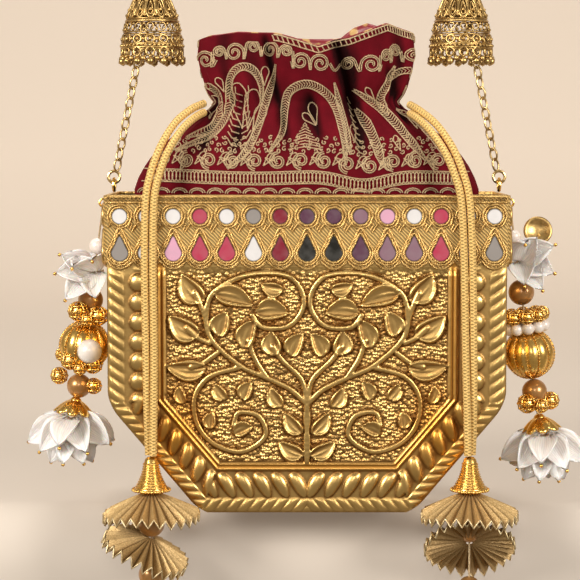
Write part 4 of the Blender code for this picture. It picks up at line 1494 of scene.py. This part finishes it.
def make_jhumka(side):
    """A pierced bell: pear-shaped wirework above, an open band, a beaded rim, loops and hanging drops."""
    body = f"jhumka_{side}"
    hinge = HINGES[f"jhumka_{side}_swing"]
    thin, thick, grains = [], [], []
    for depth in (0.4, 3.0, 16.4, 17.6, 23.2, 24.4, 29.2, 31.0):
        ring = [on_bell(hinge, 2 * math.pi * i / 44, depth) for i in range(44)]
        (thick if depth in (3.0, 17.6, 29.2, 31.0) else thin).append(ring)
    for i in range(14):
        angle = 2 * math.pi * (i + 0.5) / 14
        half = angle + math.pi / 14
        for heavy, aside, depth, half_height, half_width, point, count in BELL_WIRES:
            line = bell_outline(hinge, half if aside else angle, depth, half_height, half_width, point, count)
            (thick if heavy else thin).append(line)
        for aside, depth, lift, radius in BELL_GRAINS:
            grains.append((on_bell(hinge, half if aside else angle, depth, lift), radius))
    for i in range(44):
        grains.append((on_bell(hinge, 2 * math.pi * i / 44, 30.1, 0.3), 1.0))
    meshes = [wire_mesh(thin, 0.42 * MM, cyclic=True, resolution=0), wire_mesh(thick, 0.68 * MM, cyclic=True)]
    meshes += [ball_mesh(spot, radius * MM, 1) for spot, radius in grains]
    crown = [(4.6, 1.2), (6.3, 0.9), (7.1, -0.6), (7.2, -2.6), (6.0, -2.8), (5.4, 0.2), (4.6, 1.2)]
    meshes.append(turned_mesh(crown, hinge, 32))
    place_piece(f"{body}_filigree", join_meshes(meshes), "antique", body,
                [f"{body}_dome", f"{body}_fringe"])
    # Painted shade: a dark gold wall inside the bell's upper part shows through the openwork as its shade.
    shell_wall = [(4.9, -1), (6.2, -4), (8.4, -8), (10.9, -14), (11.8, -16.4), (11.3, -16.4), (10.4, -14),
                  (7.9, -8), (5.7, -4), (4.4, -1), (4.9, -1)]
    place_piece(f"{body}_inner_shell", turned_mesh(shell_wall, hinge, 40), "dark", body)


# ---------------------------------------------------------------- stage

CAMERA_DISTANCE = 1.0
VIEW_WIDTH = 290 * MM
VIEW_MIDDLE = (-8.5, -47.5)
CAMERA_RISE = 4.5


def make_stage(colours):
    """Pale paper over a table's edge and up behind the bag, soft lights and the camera."""
    top_z = RIM - (HEIGHT + 4.5) * MM
    front_y, edge = -9 * MM, 34 * MM
    bm = bmesh.new()
    profile = [(front_y, top_z - 1.4)]
    for i in range(13):
        a = math.pi / 2 * i / 12
        profile.append((front_y + edge * (1 - math.cos(a)), top_z - edge * (1 - math.sin(a))))
    profile.append((1.3, top_z))
    for i in range(1, 17):
        a = math.pi / 2 * i / 16
        profile.append((1.3 + 1.2 * math.sin(a), top_z + 1.2 * (1 - math.cos(a))))
    profile.append((2.5, top_z + 4.0))
    line = [bm.verts.new((-4, y, z)) for y, z in profile]
    edges = [bm.edges.new(pair) for pair in zip(line, line[1:])]
    made = bmesh.ops.extrude_edge_only(bm, edges=edges)["geom"]
    bmesh.ops.translate(bm, verts=[v for v in made if isinstance(v, bmesh.types.BMVert)], vec=(8, 0, 0))
    mesh = mesh_of(bm)
    mesh.shade_smooth()
    # Painted light: the paper glows with its own colour. Painted shade: it is half as bright near the bag and over
    # the table's edge, and brightens towards the far wall.
    look = Look("paper", colours.backdrop, 0.9, Emission_Strength=0.3)
    back = look.field(look.node("SeparateXYZ", None, Vector=look.coords()), 1)
    tone = look.mix(look.ramp(back, 0.2, 1.9), shade(colours.backdrop, 0.5), colours.backdrop)
    look.set("Base Color", tone)
    look.set("Emission Color", tone)
    mesh.materials.append(look.material)
    paper = bpy.data.objects.new("paper", mesh)
    bpy.context.scene.collection.objects.link(paper)
    target = Vector((VIEW_MIDDLE[0] * MM, FRONT_Y * MM, RIM + VIEW_MIDDLE[1] * MM))
    camera = bpy.data.objects.new("camera", bpy.data.cameras.new("camera"))
    bpy.context.scene.collection.objects.link(camera)
    rise = math.radians(CAMERA_RISE)
    camera.location = target + Vector((0, -math.cos(rise), math.sin(rise))) * CAMERA_DISTANCE
    camera.rotation_euler = (math.pi / 2 - rise, 0, 0)
    camera.data.lens = camera.data.sensor_width * CAMERA_DISTANCE / VIEW_WIDTH
    bpy.context.scene.camera = camera
    add_light("left box", (-0.8, -0.75, 0.42), target, 0.42, 13, (1.0, 0.97, 0.92))
    add_light("right box", (0.85, -0.8, 0.36), target, 0.4, 10, (1.0, 0.97, 0.93))
    add_light("front", (0.0, -1.6, 0.5), target, 0.35, 4, (1.0, 0.97, 0.93))
    add_light("top", (0.0, 0.1, 0.95), target, 0.5, 5, (1.0, 0.98, 0.95))
    add_light("wash", (0.0, 1.1, 2.2), target + Vector((0, 2.2, 0.2)), 2.0, 80, (1.0, 0.96, 0.9))
    world = bpy.data.worlds.new("room")
    bpy.context.scene.world = world
    world.use_nodes = True
    background = world.node_tree.nodes["Background"]
    background.inputs["Color"].default_value = (1.0, 0.86, 0.68, 1)
    background.inputs["Strength"].default_value = 0.3
    bpy.context.scene.view_settings.view_transform = "Standard"


def add_light(name, offset, target, size, power, colour):
    data = bpy.data.lights.new(name, "AREA")
    data.shape, data.size, data.energy, data.color = "SQUARE", size, power, colour
    light = bpy.data.objects.new(name, data)
    bpy.context.scene.collection.objects.link(light)
    light.location = target + Vector(offset)
    light.rotation_euler = (target - light.location).to_track_quat("-Z", "Y").to_euler()


# ---------------------------------------------------------------- add-on


class POTLI_OT_stage(bpy.types.Operator):
    """Make the paper, the lights and the camera, and the finishes"""

    bl_idname = "potli.stage"
    bl_label = "Stage and finishes"
    bl_options = {"REGISTER", "UNDO"}

    def execute(self, context):
        make_looks(context.scene.potli_colours)
        make_stage(context.scene.potli_colours)
        return {"FINISHED"}


class POTLI_OT_tassels(bpy.types.Operator):
    """Make the two cord tassels with their cones, pleated fans and beads"""

    bl_idname = "potli.tassels"
    bl_label = "Cord tassels"
    bl_options = {"REGISTER", "UNDO"}

    def execute(self, context):
        for side, sign in SIDES:
            make_tassel(side, sign, context.scene.potli_sizes.pleats)
        return {"FINISHED"}


class POTLI_OT_drawstrings(bpy.types.Operator):
    """Make the four braided drawstring tails"""

    bl_idname = "potli.drawstrings"
    bl_label = "Drawstrings"
    bl_options = {"REGISTER", "UNDO"}

    def execute(self, context):
        make_drawstrings()
        return {"FINISHED"}


class POTLI_OT_box(bpy.types.Operator):
    """Make the embossed box"""

    bl_idname = "potli.box"
    bl_label = "Embossed box"
    bl_options = {"REGISTER", "UNDO"}

    def execute(self, context):
        make_box(context.scene.potli_sizes)
        return {"FINISHED"}


class POTLI_OT_lace(bpy.types.Operator):
    """Make the mirror lace round the box's top"""

    bl_idname = "potli.lace"
    bl_label = "Mirror lace"
    bl_options = {"REGISTER", "UNDO"}

    def execute(self, context):
        make_lace(context.scene.potli_sizes)
        return {"FINISHED"}


class POTLI_OT_pouch(bpy.types.Operator):
    """Make the velvet pouch, its lining and its embroidery"""

    bl_idname = "potli.pouch"
    bl_label = "Velvet pouch"
    bl_options = {"REGISTER", "UNDO"}

    def execute(self, context):
        make_pouch(context.scene.potli_sizes)
        return {"FINISHED"}


class POTLI_OT_latkans(bpy.types.Operator):
    """Make the shell and bead latkans at both sides"""

    bl_idname = "potli.latkans"
    bl_label = "Side latkans"
    bl_options = {"REGISTER", "UNDO"}

    def execute(self, context):
        for side, sign in SIDES:
            make_latkan(side, sign)
        return {"FINISHED"}


class POTLI_OT_handle(bpy.types.Operator):
    """Make the chain and its two jhumkas"""

    bl_idname = "potli.handle"
    bl_label = "Chain and jhumkas"
    bl_options = {"REGISTER", "UNDO"}

    def execute(self, context):
        make_chain(context.scene.potli_sizes)
        for side, _ in SIDES:
            make_jhumka(side)
        return {"FINISHED"}


MAKERS = (
    POTLI_OT_stage, POTLI_OT_tassels, POTLI_OT_drawstrings, POTLI_OT_box, POTLI_OT_lace, POTLI_OT_pouch,
    POTLI_OT_latkans, POTLI_OT_handle,
)


class POTLI_PT_panel(bpy.types.Panel):
    """Lists the makers and the bag's settings"""

    bl_label = "Potli bag"
    bl_space_type = "VIEW_3D"
    bl_region_type = "UI"
    bl_category = "Potli bag"

    def draw(self, context):
        for maker in MAKERS:
            self.layout.operator(maker.bl_idname)
        for group in (context.scene.potli_sizes, context.scene.potli_colours):
            for key in group.bl_rna.properties.keys():
                if key not in ("rna_type", "name"):
                    self.layout.prop(group, key)


CLASSES = (PotliSizes, PotliColours, *MAKERS, POTLI_PT_panel)


def register():
    for one in CLASSES:
        bpy.utils.register_class(one)
    bpy.types.Scene.potli_sizes = PointerProperty(type=PotliSizes)
    bpy.types.Scene.potli_colours = PointerProperty(type=PotliColours)


def unregister():
    del bpy.types.Scene.potli_sizes
    del bpy.types.Scene.potli_colours
    for one in reversed(CLASSES):
        bpy.utils.unregister_class(one)


def main():
    register()
    bpy.ops.potli.stage()
    bpy.ops.potli.tassels()
    bpy.ops.potli.drawstrings()
    bpy.ops.potli.box()
    bpy.ops.potli.lace()
    bpy.ops.potli.pouch()
    bpy.ops.potli.latkans()
    bpy.ops.potli.handle()


if __name__ == "__main__":
    main()
